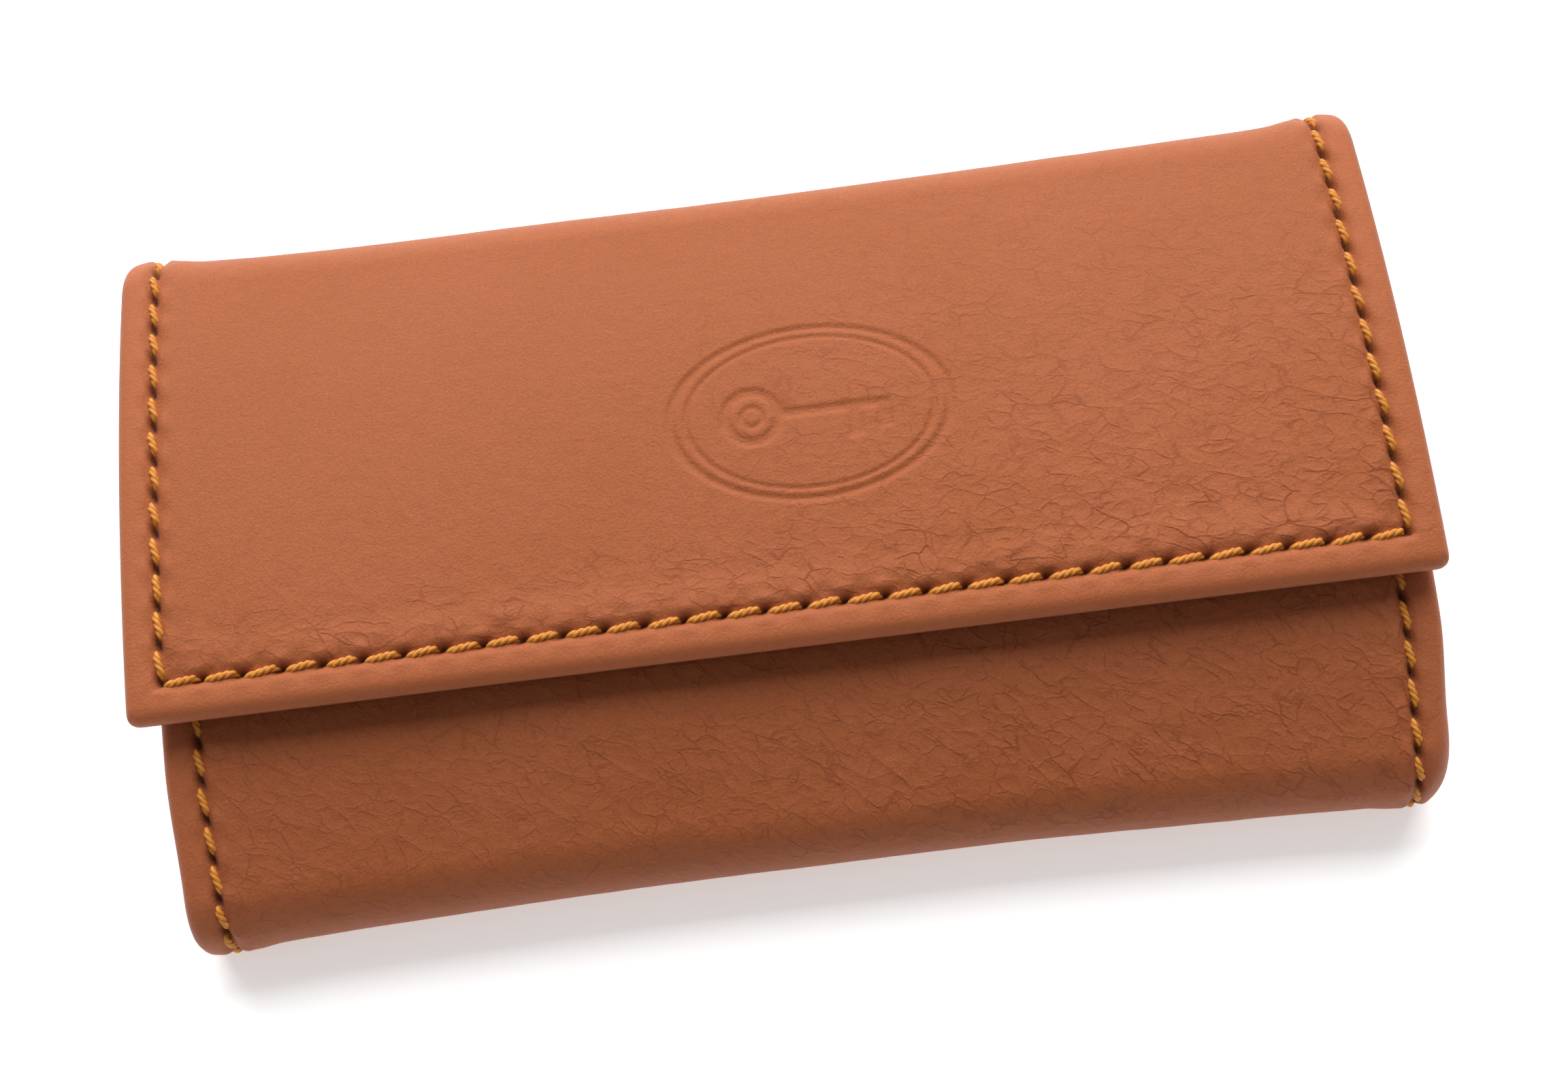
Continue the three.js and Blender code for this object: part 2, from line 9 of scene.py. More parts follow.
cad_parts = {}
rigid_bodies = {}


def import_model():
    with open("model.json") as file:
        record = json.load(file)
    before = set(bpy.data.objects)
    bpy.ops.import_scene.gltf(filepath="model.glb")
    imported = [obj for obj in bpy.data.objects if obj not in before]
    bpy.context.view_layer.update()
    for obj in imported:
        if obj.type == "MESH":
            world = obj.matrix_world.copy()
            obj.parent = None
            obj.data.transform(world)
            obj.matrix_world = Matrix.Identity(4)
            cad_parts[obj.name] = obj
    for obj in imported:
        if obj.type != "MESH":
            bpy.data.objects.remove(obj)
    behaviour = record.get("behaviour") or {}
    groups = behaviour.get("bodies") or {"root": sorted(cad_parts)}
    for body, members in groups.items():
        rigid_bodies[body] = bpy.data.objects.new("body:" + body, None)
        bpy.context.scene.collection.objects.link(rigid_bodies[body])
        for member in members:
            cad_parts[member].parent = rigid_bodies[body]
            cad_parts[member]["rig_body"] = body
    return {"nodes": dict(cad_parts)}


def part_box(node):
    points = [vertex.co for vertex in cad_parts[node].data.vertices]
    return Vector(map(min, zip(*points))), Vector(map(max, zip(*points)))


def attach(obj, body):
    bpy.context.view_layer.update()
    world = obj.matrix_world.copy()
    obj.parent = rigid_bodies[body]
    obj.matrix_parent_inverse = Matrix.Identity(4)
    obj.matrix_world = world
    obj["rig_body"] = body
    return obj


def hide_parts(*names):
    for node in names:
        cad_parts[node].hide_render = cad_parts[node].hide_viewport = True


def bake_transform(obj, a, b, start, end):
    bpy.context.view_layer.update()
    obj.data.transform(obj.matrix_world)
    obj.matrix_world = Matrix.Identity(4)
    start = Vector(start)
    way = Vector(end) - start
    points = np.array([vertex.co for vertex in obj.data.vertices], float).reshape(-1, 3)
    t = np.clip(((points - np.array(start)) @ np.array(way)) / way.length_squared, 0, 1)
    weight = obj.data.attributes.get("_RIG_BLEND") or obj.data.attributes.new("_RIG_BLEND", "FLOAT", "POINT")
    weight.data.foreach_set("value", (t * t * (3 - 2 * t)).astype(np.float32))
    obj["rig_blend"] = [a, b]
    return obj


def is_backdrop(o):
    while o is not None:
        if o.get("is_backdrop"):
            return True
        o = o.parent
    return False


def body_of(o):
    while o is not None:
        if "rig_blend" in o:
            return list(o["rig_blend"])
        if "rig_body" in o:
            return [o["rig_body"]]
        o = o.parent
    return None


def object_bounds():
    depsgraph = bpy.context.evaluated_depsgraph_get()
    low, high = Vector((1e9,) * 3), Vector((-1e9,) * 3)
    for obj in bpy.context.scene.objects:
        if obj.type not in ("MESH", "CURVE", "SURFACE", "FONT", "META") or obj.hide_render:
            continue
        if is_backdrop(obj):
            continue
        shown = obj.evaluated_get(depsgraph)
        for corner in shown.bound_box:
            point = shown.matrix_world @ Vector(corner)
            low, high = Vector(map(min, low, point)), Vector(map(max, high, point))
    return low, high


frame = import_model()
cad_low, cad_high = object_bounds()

# A tri-fold leather key case: a strip of leather that folds under, round and over a row of key hooks.
# Every length below is in millimetres until it becomes a vertex. The strip is described by t, the distance
# along its outer face from the middle of the back: positive round the rear fold to the flap's free edge,
# negative round the front fold to the front panel's free edge.
MM = 0.001


def width_of(node_name):
    low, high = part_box(node_name)
    return (high.x - low.x) / MM


# ---------------------------------------------------------------- driving dimensions

# Lengths of each half's flat base and spine, radii of its creases and its crown, and the degrees that its
# upper crease and its crown turn through. The lower crease turns through 90.
REAR_FOLD = {"base": 26.3, "crease": 5.0, "spine": 7.2, "upper": 81, "crown": 143, "sweep": 16.6}
FRONT_FOLD = {"base": 26.5, "crease": 4.8, "spine": 0.8, "upper": 71.5, "crown": 110, "sweep": 15.5}
FLAP_HALF = (cad_high.x - cad_low.x) / 2 / MM
PUFF = 0.4  # the padded edges stand a little outside the plain strip
HALF = FLAP_HALF + PUFF
FRONT_HALF = width_of("front_panel_outer_leather") / 2
FRONT_SHIFT = 0.65  # the front panel is sewn a little to the right
FRONT_PINCH = 0.6  # and its fold is drawn in a little at each end

LEATHER = 1.15
EDGE = 2.7  # thickness of the turned and padded edge
ROLL = EDGE / 2
LIP = 1.38  # how far in from the rim the edge keeps that thickness
LINING_TOP = 1.85  # depth of the lining's two faces below the strip's face
LINING_FACE = 2.62
LINING_THICKNESS = LINING_FACE - LINING_TOP
LINING_INSET = 1.75  # the lining stops this far inside the rim
LINING_HALF = HALF - LINING_INSET

SEAM = 3.2  # from the rim to the seam
PITCH = 3.34  # from one needle hole to the next
GROOVE_DEPTH = 0.3
THREAD_RADIUS = 0.35

# Spacing of the mesh points.
GRID = 0.33
GRID_SEAM = 0.2  # by the seams and the mark
GRID_FOLD = 0.6
GRID_LINING = 0.8
GRID_LINING_SEAM = 0.26

EMBLEM_X = 4.2
EMBLEM_Y = 5.8
EMBLEM_HALF = (12.4, 8.2)
EMBLEM_DEPTH = 0.16
SNAP_TILT = math.radians(5.6)  # the press stud leans with the crown of the flap

# ---------------------------------------------------------------- camera

CAMERA = {"azimuth": -0.2, "elevation": 67.96, "roll": -7.15, "distance": 220, "lens": 57.9}
CAMERA_TARGET = (0.63, -2.42, 10.0)


def add_camera():
    azimuth, elevation, roll = (math.radians(CAMERA[key]) for key in ("azimuth", "elevation", "roll"))
    ahead = Vector((
        math.sin(azimuth) * math.cos(elevation),
        math.cos(azimuth) * math.cos(elevation),
        -math.sin(elevation),
    ))
    level = Vector((math.cos(azimuth), -math.sin(azimuth), 0))
    above = level.cross(ahead)
    right = level * math.cos(roll) + above * math.sin(roll)
    up = above * math.cos(roll) - level * math.sin(roll)
    data = bpy.data.cameras.new("camera")
    data.sensor_width = 36
    data.lens = CAMERA["lens"]
    data.clip_start = 0.01
    camera = bpy.data.objects.new("camera", data)
    turn = Matrix((right, up, -ahead)).transposed().to_4x4()
    place = Vector(CAMERA_TARGET) * MM - ahead * CAMERA["distance"] * MM
    camera.matrix_world = Matrix.Translation(place) @ turn
    bpy.context.scene.collection.objects.link(camera)
    bpy.context.scene.camera = camera


add_camera()

# ---------------------------------------------------------------- noise on the strip


def smooth(value):
    value = np.clip(value, 0, 1)
    return value * value * (3 - 2 * value)


def soft_noise(u, v, size, seed):
    """Smooth noise between -1 and 1 with bumps about size wide."""
    values = np.random.default_rng(seed).uniform(-1, 1, (64, 64))
    a, b = u / size, v / size
    i, j = np.floor(a).astype(int), np.floor(b).astype(int)
    p, q = smooth(a - i), smooth(b - j)
    corner = lambda di, dj: values[(i + di) % 64, (j + dj) % 64]
    near = corner(0, 0) * (1 - p) + corner(1, 0) * p
    far = corner(0, 1) * (1 - p) + corner(1, 1) * p
    return near * (1 - q) + far * q


def cell_walls(u, v, size, seed):
    """Distance from the walls between scattered cells about size wide: 0 on a wall."""
    jitter = np.random.default_rng(seed).random((64, 64, 2))
    a, b = u / size, v / size
    i, j = np.floor(a).astype(int), np.floor(b).astype(int)
    first = np.full(a.shape, 9.0)
    second = first.copy()
    for di in (-1, 0, 1):
        for dj in (-1, 0, 1):
            seed_point = jitter[(i + di) % 64, (j + dj) % 64]
            away = np.hypot(i + di + seed_point[..., 0] - a, j + dj + seed_point[..., 1] - b)
            second = np.minimum(second, np.maximum(first, away))
            first = np.minimum(first, away)
    return second - first


# ---------------------------------------------------------------- the folded strip


class Run:
    """One half of the strip's outer face: straight, lower crease, spine, upper crease, crowned panel."""

    def __init__(self, side, base, crease, spine, upper, crown, sweep):
        lower_arc, upper_arc = crease * math.pi / 2, crease * math.radians(upper)
        lengths = [0, base, lower_arc, spine, upper_arc, crown * math.radians(sweep)]
        self.side = side
        self.knots = np.cumsum(lengths)
        self.turns = np.radians([0, 0, 90, 90, 90 + upper, 90 + upper + sweep])
        self.end = self.knots[-1]
        self.crease = crease
        self.s = np.linspace(0, self.end + 2, 6000)
        heading = self.heading(self.s)
        middle = (heading[1:] + heading[:-1]) / 2
        step = self.s[1]
        self.y = side * np.concatenate([[0], np.cumsum(np.cos(middle) * step)])
        self.z = np.concatenate([[0], np.cumsum(np.sin(middle) * step)])

    def heading(self, s):
        """The strip's angle at s. Past the end it goes on turning as the crown does."""
        crown_length, crown_turn = self.end - self.knots[-2], self.turns[-1] - self.turns[-2]
        past_end = np.clip(s - self.end, 0, None) / crown_length * crown_turn
        return np.interp(s, self.knots, self.turns) + past_end

    def at(self, s, depth):
        heading = self.heading(s)
        y = np.interp(s, self.s, self.y) - self.side * np.sin(heading) * depth
        z = np.interp(s, self.s, self.z) + np.cos(heading) * depth
        return y, z

    def crease_centre(self, which):
        """Centre and middle heading of the lower (0) or upper (1) crease."""
        first = self.knots[1 + 2 * which]
        y, z = self.at(first, self.crease)
        return float(y), float(z), float((self.turns[1 + 2 * which] + self.turns[2 + 2 * which]) / 2)


REAR = Run(1, **REAR_FOLD)
FRONT = Run(-1, **FRONT_FOLD)
REAR_CUT = (REAR.knots[2] + REAR.knots[3]) / 2
FRONT_CUT = (FRONT.knots[2] + FRONT.knots[3]) / 2


def half_width(t):
    """Half the strip's width: the front is a little narrower than the flap."""
    return np.interp(t, [-FRONT.knots[1], REAR.knots[1]], [FRONT_HALF, FLAP_HALF])


def fold_sag(x, middle, ear, reach, early):
    """How far a fold is drawn in at x, between the firm ends that the turned edges make. The share early
    comes within reach of the ends, the rest slowly towards the middle."""
    from_ear = np.clip(HALF - 2.5 - np.abs(x), 0, None)
    at_once = early * (1 - np.exp(-from_ear / reach))
    slowly = (1 - early) * np.sin(math.pi / 2 * np.clip(from_ear / 50, 0, 1))
    past_ear = np.clip((np.abs(x) - HALF + 3.4) / 3.4, 0, 1)
    return middle * (at_once + slowly) + ear * past_ear**2


def on_strip(x, t, depth):
    """Points of the folded case: x across at the flap's width, t along the strip, depth below its face."""
    x, t, depth = np.broadcast_arrays(*(np.asarray(value, float) for value in (x, t, depth)))
    rear_y, rear_z = REAR.at(np.clip(t, 0, None), depth)
    front_y, front_z = FRONT.at(np.clip(-t, 0, None), depth)
    y = np.where(t >= 0, rear_y, front_y)
    z = np.where(t >= 0, rear_z, front_z)
    face_y = np.where(t >= 0, np.interp(t, REAR.s, REAR.y), np.interp(-t, FRONT.s, FRONT.y))
    at_front = smooth((-face_y - 15) / 15)
    at_rear = smooth((face_y - 17) / 13)
    to_right = x / HALF
    rear_drawn = fold_sag(x, 1.1 - 0.15 * to_right, 0.5, 4, 0.6) + 0.1 - 0.25 * to_right
    front_drawn = fold_sag(x, 1.35, 1.2 + 0.9 * to_right, 9, 0.45) + 0.25 * np.clip(to_right, 0, 1) ** 2
    y = y + at_front * front_drawn - at_rear * rear_drawn
    across = x * half_width(t) / FLAP_HALF
    across = across * (1 - FRONT_PINCH / FLAP_HALF * smooth((-face_y - 17) / 12))
    across = across + FRONT_SHIFT * smooth((-t - 10) / 25)
    return np.stack([across, y, z], -1)


# ---------------------------------------------------------------- relief of the outer leather

FLAP_END = REAR.end + 0.35
FRONT_END = FRONT.end
SIDE_SEAM = HALF - SEAM
FLAP_SEAM = FLAP_END - SEAM
FRONT_SEAM = -FRONT_END + SEAM
SIDE_STITCHES = round((FLAP_SEAM - FRONT_SEAM) / PITCH)
SIDE_PITCH = (FLAP_SEAM - FRONT_SEAM) / SIDE_STITCHES
END_STITCHES = round(2 * SIDE_SEAM / PITCH)
END_PITCH = 2 * SIDE_SEAM / END_STITCHES

FLAP_PART = REAR.s > REAR.knots[3]
EMBLEM_T = float(np.interp(-EMBLEM_Y, -REAR.y[FLAP_PART], REAR.s[FLAP_PART]))
stud_low, stud_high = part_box("snap_stud")
STUD_Y = (stud_low.y + stud_high.y) / 2 / MM + 0.2
FRONT_PART = FRONT.s > FRONT.knots[3]
STUD_T = -float(np.interp(STUD_Y, FRONT.y[FRONT_PART], FRONT.s[FRONT_PART]))


def seam_frame(x, t):
    """Place by the nearest seam: how far inside it, how far along from the nearest needle hole, how far to
    its left, and whether it is an end seam."""
    side = SIDE_SEAM - np.abs(x)
    nearest_end = np.minimum(FLAP_SEAM - t, t - FRONT_SEAM)
    by_end = nearest_end < side
    blend = np.clip(1.6 - np.abs(side - nearest_end), 0, None)
    inside = np.minimum(side, nearest_end) - blend**2 / 6.4
    outside = -np.hypot(np.minimum(side, 0), np.minimum(nearest_end, 0))
    away = np.where((side > 0) & (nearest_end > 0), np.maximum(inside, 0), outside)
    along_side = (t - FLAP_SEAM + SIDE_PITCH / 2) % SIDE_PITCH - SIDE_PITCH / 2
    along_end = (x + SIDE_SEAM + END_PITCH / 2) % END_PITCH - END_PITCH / 2
    to_left = np.where(by_end, np.where(t > 0, FLAP_SEAM - t, FRONT_SEAM - t), -np.sign(x) * side)
    return away, np.where(by_end, along_end, along_side), to_left, by_end


def slackness(x, t):
    """Where the hide is loose and creases: to the right of the flap, along its seam, and on the front."""
    on_flap = smooth((t - REAR.knots[3]) / 10)
    on_front = smooth((-t - FRONT.knots[2]) / 4)
    by_seam = np.exp(-((np.clip(FLAP_SEAM - t, 0, None) / 5.5) ** 2)) * (t < FLAP_SEAM + 0.3)
    to_right = smooth((x + 22) / 46)
    patches = 0.5 + 0.5 * soft_noise(x, t, 13, 21)
    down_flap = smooth((t - REAR.knots[4]) / 26)
    flap = (0.1 + 0.75 * to_right * (0.55 + 0.45 * patches)) * (0.25 + 0.75 * down_flap) + 0.75 * by_seam
    front = 0.6 + 0.2 * to_right + 0.25 * patches
    border = smooth(np.minimum(HALF - np.abs(x), FLAP_END - t) / 1.5 - SEAM / 1.5 + 0.35)
    loose = on_flap * flap + on_front * front + 0.3 * (1 - on_flap) * (1 - on_front)
    return np.clip(loose * (0.25 + 0.75 * border), 0, 1)


def puckers(x, t, slack):
    """Pillows of slack leather between the creases of the grain, from 1 to 3 mm across."""
    bend_x = x + 0.9 * soft_noise(x, t, 4.5, 31) + 0.25 * soft_noise(x, t, 1.3, 35)
    bend_t = t + 0.9 * soft_noise(x, t, 4.5, 32) + 0.25 * soft_noise(x, t, 1.3, 36)
    slant = np.where(t > 0, 0.5 - 0.35 * smooth((x - 20) / 25), 0.85)
    along = bend_x * np.cos(slant) + bend_t * np.sin(slant)
    over = -bend_x * np.sin(slant) + bend_t * np.cos(slant)
    wide = 1 - np.exp(-cell_walls(along / 1.6, over, 2.5, 41) / 0.13)
    small = 1 - np.exp(-cell_walls(along / 1.25, over, 1.5, 42) / 0.16)
    broken = smooth(0.6 + 1.3 * soft_noise(x, t, 3.6, 33))
    by_seam = np.exp(-((np.clip(FLAP_SEAM - t, 0, None) / 4.0) ** 2))
    hills = 0.07 * soft_noise(x, t, 2.4, 34) + 0.05 * soft_noise(x, t, 1.2, 37) * by_seam
    creased = (0.045 * (wide - 1) * broken + (0.035 + 0.04 * by_seam) * (small - 1)) * slack
    return creased + hills * slack


def emblem(x, t):
    """A plain key in two ovals, pressed into the flap. 1 where the leather is pressed, 0 outside."""
    across, up = x - EMBLEM_X, EMBLEM_T - t
    wide, tall = EMBLEM_HALF
    line = lambda away, half: 1 - smooth((np.abs(away) - half) / 0.2)
    beside = lambda value, low, high: np.maximum(low - value, value - high)
    bar = lambda x0, x1, y0, y1: line(np.maximum(beside(across, x0, x1), beside(up, y0, y1)).clip(0), 0.0)
    radius = np.hypot(across / wide, up / tall)
    parts = [
        line((radius - 0.97) * tall * 1.15, 0.2),
        line((radius - 0.86) * tall * 1.15, 0.06),
        line(np.hypot(across + 5.0, up) - 2.3, 0.34),
        line(np.hypot(across + 5.0, up) - 0.9, 0.1),
        bar(-2.6, 6.8, -0.3, 0.3),
        bar(3.3, 4.3, -2.7, 0.2),
        bar(5.8, 6.8, -2.2, 0.2),
    ]
    return np.max(parts, 0)


def hole_depth(x, t):
    """How deep the leather is pulled in at a needle hole: a slit that slants from stitch to stitch."""
    away, along, to_left, by_end = seam_frame(x, t)
    length = np.where(by_end, 0.52, 0.72)
    slit = np.exp(-(((to_left - 0.3 * along) / 0.26) ** 2) - (along / length) ** 2)
    return slit * smooth((away + 1.5) / 1.0) * (away < 2)


def outer_relief(x, t):
    """Height of the leather's face above the plain strip."""
    away, along = seam_frame(x, t)[:2]
    between = 0.5 - 0.5 * np.cos(2 * math.pi * along / PITCH)
    slack = slackness(x, t)
    on_flap = t > REAR.knots[3]
    groove = -GROOVE_DEPTH * np.exp(-((away / 0.6) ** 2))
    pucker = np.exp(-(((away - 0.95) / 0.5) ** 2)) * (0.16 - 0.2 * between)
    pucker = pucker + np.exp(-(((away + 0.85) / 0.45) ** 2)) * (0.08 - 0.12 * between)
    border = 0.14 * np.sin(math.pi * np.clip(-away / SEAM, 0, 1))
    padding = 0.16 * np.exp(-(((away - 1.9) / 1.3) ** 2)) * (away > 0)
    sway = 0.12 * soft_noise(x, t, 17, 51) * smooth(away / 6)
    oval = np.hypot((x - EMBLEM_X) / EMBLEM_HALF[0], (EMBLEM_T - t) / EMBLEM_HALF[1])
    flattened = smooth((1.3 - oval) / 0.3) * on_flap
    pressed = -EMBLEM_DEPTH * emblem(x, t) * on_flap
    creased = puckers(x, t, slack) * smooth(away / 0.9 + 0.15) * (1 - 0.7 * flattened)
    stud_seat = -0.6 * (1 - smooth((np.hypot(x, t - STUD_T) - 3.9) / 0.5))
    sewn = groove - 0.75 * hole_depth(x, t) + pucker
    relief = sewn + border + padding + sway + pressed + creased + stud_seat
    on_table = 1 - smooth((np.abs(t) - FRONT.knots[1] + 1) / 3)
    return np.where(relief > 0, relief * (1 - on_table), relief * (1 - 0.6 * on_table))


# ---------------------------------------------------------------- meshes


def make_object(name, vertices, faces, uv, marks):
    mesh = bpy.data.meshes.new(name)
    mesh.from_pydata((vertices * MM).tolist(), [], faces)
    layer = mesh.uv_layers.new(name="UVMap")
    loops = np.zeros(len(mesh.loops), int)
    mesh.loops.foreach_get("vertex_index", loops)
    layer.data.foreach_set("uv", uv[loops].astype(np.float32).ravel())
    colours = np.ones((len(vertices), 4), np.float32)
    colours[:, :marks.shape[1]] = marks
    attribute = mesh.color_attributes.new("marks", "FLOAT_COLOR", "POINT")
    attribute.data.foreach_set("color", colours.ravel())
    mesh.shade_smooth()
    mesh.update()
    obj = bpy.data.objects.new(name, mesh)
    bpy.context.scene.collection.objects.link(obj)
    return obj


def stations(low, high, step, fine_bands=(), fine_step=GRID_SEAM):
    """Rising values from low to high, step apart, and fine_step apart inside the bands."""
    marks = sorted({low, high, *(min(max(m, low), high) for band in fine_bands for m in band)})
    values = [np.array([low])]
    for a, b in zip(marks[:-1], marks[1:]):
        middle = (a + b) / 2
        fine = any(band[0] <= middle <= band[1] for band in fine_bands)
        count = max(1, round((b - a) / (fine_step if fine else step)))
        values.append(np.linspace(a, b, count + 1)[1:])
    return np.concatenate(values)


ROLL_ANGLES = np.radians([8, 18, 29, 41, 54, 68, 80, 90])
ROLL_POWER = 2 / 2.6
UNDERSIDE_STRIPS = 36
MAP_UNIT = 10  # one unit of the leather's map, in millimetres


def rolled(flat, low_edge, high_edge, radius, low_rolls=True, high_rolls=True):
    """Adds the rounded edge to a row of stations. Gives the place of each, and its turn over the edge."""
    place, turn = [flat], [np.zeros(len(flat))]
    if low_rolls:
        place.insert(0, np.full(len(ROLL_ANGLES), low_edge + radius))
        turn.insert(0, -ROLL_ANGLES[::-1])
    if high_rolls:
        place.append(np.full(len(ROLL_ANGLES), high_edge - radius))
        turn.append(ROLL_ANGLES)
    return np.concatenate(place), np.concatenate(turn)


def quads(index, keep):
    """Faces between neighbouring points of a grid."""
    corners = [index[:-1, :-1], index[:-1, 1:], index[1:, 1:], index[1:, :-1]]
    return np.stack(corners, -1)[keep].tolist()


def rounded_grid(columns, rows, low, high, half, radius):
    """A grid whose free edges round over: its stations with their turns over the edge, its points before
    they are folded, and how level each is, from 0 on the rim to 1 inside."""
    xs, x_turn = rolled(columns, -half, half, radius)
    ts, t_turn = rolled(rows, low[0], high[0], radius, low[1], high[1])
    x_out, t_out = (np.sign(turn) * np.abs(np.sin(turn)) ** ROLL_POWER for turn in (x_turn, t_turn))
    X, T = np.meshgrid(xs, ts, indexing="ij")
    U, V = np.meshgrid(x_out, t_out, indexing="ij")
    level = np.outer(np.abs(np.cos(x_turn)) ** ROLL_POWER, np.abs(np.cos(t_turn)) ** ROLL_POWER)
    both = (np.abs(U) > 0) & (np.abs(V) > 0)
    reach = np.maximum((np.abs(U) ** 3 + np.abs(V) ** 3) ** (1 / 3), 1e-9)
    corner = np.where(both, np.maximum(np.abs(U), np.abs(V)) / reach, 1.0)
    return (xs, x_turn), (ts, t_turn), X + radius * U * corner, T + radius * V * corner, level


def rim_distance(X, T, low, high, half):
    """How far points are inside the nearest free edge."""
    inside = half - np.abs(X)
    inside = np.minimum(inside, T - low[0]) if low[1] else inside
    return np.minimum(inside, high[0] - T) if high[1] else inside


def plain_range(xs, ts, low, high, half, solid):
    """The stations, in both directions, that are further than solid inside every free edge."""
    x_low = int(np.argmax(half - np.abs(xs) > solid))
    t_low = int(np.argmax(ts - low[0] > solid)) if low[1] else 0
    last = len(ts) - 1
    t_high = last - int(np.argmax((high[0] - ts)[::-1] > solid)) if high[1] else last
    return x_low, len(xs) - 1 - x_low, t_low, t_high


def far_points(rim, plain, low, high):
    """Numbers the far face's points. It shares the rim's points with the near face, and in its plain range
    it has only the kept columns, with -1 for the rest. Gives the numbers, which are its own, and those kept
    columns."""
    x_low, x_high, t_low, t_high = plain
    kept = np.unique(np.linspace(x_low, x_high, UNDERSIDE_STRIPS + 1).astype(int))
    left_out = np.zeros(rim.shape, bool)
    left_out[x_low + 1:x_high, t_low + int(low[1]):t_high + int(not high[1])] = True
    left_out[kept] = False
    own = ~left_out & ~rim
    index = np.arange(rim.size).reshape(rim.shape)
    index[left_out] = -1
    index[own] = rim.size + np.arange(int(own.sum()))
    return index, own, kept


def strip_faces(index, kept, plain, low, high):
    """The far face's long faces between its kept columns, and all the points at the strips' free ends."""
    t_low, t_high = plain[2:]
    faces = []
    for c, d in zip(kept[:-1].tolist(), kept[1:].tolist()):
        for j in range(t_low, t_high):
            first = index[c + 1:d, j].tolist() if j == t_low and low[1] else []
            last = index[c + 1:d, j + 1].tolist()[::-1] if j == t_high - 1 and high[1] else []
            left, right = index[c, j:j + 2].tolist(), index[d, j:j + 2].tolist()
            faces.append([*left[::-1], *first, *right, *last])
    return faces


def cut_faces(near_index, far_index, low, high):
    """Closes the sheet where it is cut from the next length of the strip."""
    faces = []
    for j, free in ((0, low[1]), (-1, high[1])):
        if not free:
            under = [k for k in far_index[1:-1, j].tolist() if k >= 0]
            ring = near_index[:, j].tolist() + under[::-1]
            faces.append(ring if j == 0 else ring[::-1])
    return faces


def unrolled(xs, ts, half, radius, own):
    """The map: the near face laid flat, and the far face laid out past its edges."""
    U, V = np.meshgrid(xs[0] + radius * xs[1], ts[0] + radius * ts[1], indexing="ij")
    under = np.sign(U) * (2 * half + radius * (math.pi - 2)) - U
    near, far = np.stack([U, V], -1), np.stack([under, V], -1)
    return np.concatenate([near.reshape(-1, 2), far[own]]) / MAP_UNIT


def slab(name, low, high, half, thickness, near, far, columns, rows, relief, marks, lip=None, far_in=0.0):
    """A sheet of the strip with rounded edges. low and high are its two ends along the strip, each with
    whether it is a free edge. near and far are the depths of its two faces, lip the width over which the
    far face is at full thickness, and far_in its depth further in."""
    radius = thickness / 2
    sign = 1 if far > near else -1
    xs, ts, X, T, level = rounded_grid(columns, rows, low, high, half, radius)
    drop = sign * radius * (1 - level)
    top = near + drop - relief(X, T) * smooth(level * 1.4) * sign
    bottom = far - drop
    if lip is not None:
        inside = rim_distance(X, T, low, high, half)
        bottom = bottom + (far_in - far) * smooth((inside - lip) / 0.28)
    rim = (np.abs(xs[1]) > 1.57)[:, None] | (np.abs(ts[1]) > 1.57)[None, :]
    plain = plain_range(xs[0], ts[0], low, high, half, (lip or 0.8) + 0.45)
    near_index = np.arange(rim.size).reshape(rim.shape)
    far_index, own, kept = far_points(rim, plain, low, high)
    near_faces = np.ones((rim.shape[0] - 1, rim.shape[1] - 1), bool)
    far_faces = near_faces.copy()
    far_faces[plain[0]:plain[1], plain[2]:plain[3]] = False
    faces = quads(near_index, near_faces)
    faces += [face[::-1] for face in quads(far_index, far_faces)]
    faces += strip_faces(far_index, kept, plain, low, high)
    faces += cut_faces(near_index, far_index, low, high)
    if sign > 0:
        faces = [face[::-1] for face in faces]
    points = np.concatenate([on_strip(X, T, top).reshape(-1, 3), on_strip(X, T, bottom)[own]])
    painted = marks(X, T)
    painted = np.concatenate([painted.reshape(-1, painted.shape[-1]), painted[own] * 0])
    return make_object(name, points, faces, unrolled(xs, ts, half, radius, own), painted)


def seam_bands(reach):
    """Bands of x around the two side seams."""
    return [(seam - reach, seam + reach) for seam in (-SIDE_SEAM, SIDE_SEAM)]


# Each length of the strip between two cuts: its low and high end, each with whether it is a free edge, the
# two bodies it bends between, the crease it bends at, and how far the bend reaches to each side of it.
SPANS = {
    "flap": ((REAR_CUT, False), (FLAP_END, True), ("rear_spine", "flap"), (REAR, 1), 4.2),
    "rear_fold": ((0.0, False), (REAR_CUT, False), ("back", "rear_spine"), (REAR, 0), 3.9),
    "front_fold": ((-FRONT_CUT, False), (0.0, False), ("back", "front_spine"), (FRONT, 0), 1.6),
    "front_panel": (
        (-FRONT_END, True), (-FRONT_CUT, False), ("front_spine", "front_panel"), (FRONT, 1), 1.4),
}


def bend(piece, span):
    """Bends a piece across its crease, square to the crease's bisector."""
    _, _, bodies, (run, which), reach = SPANS[span]
    y, z, heading = run.crease_centre(which)
    ahead = Vector((0, run.side * math.cos(heading), math.sin(heading)))
    centre = Vector((0, y, z))
    start, end = centre - ahead * reach, centre + ahead * reach
    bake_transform(piece, *bodies, start=tuple(start * MM), end=tuple(end * MM))


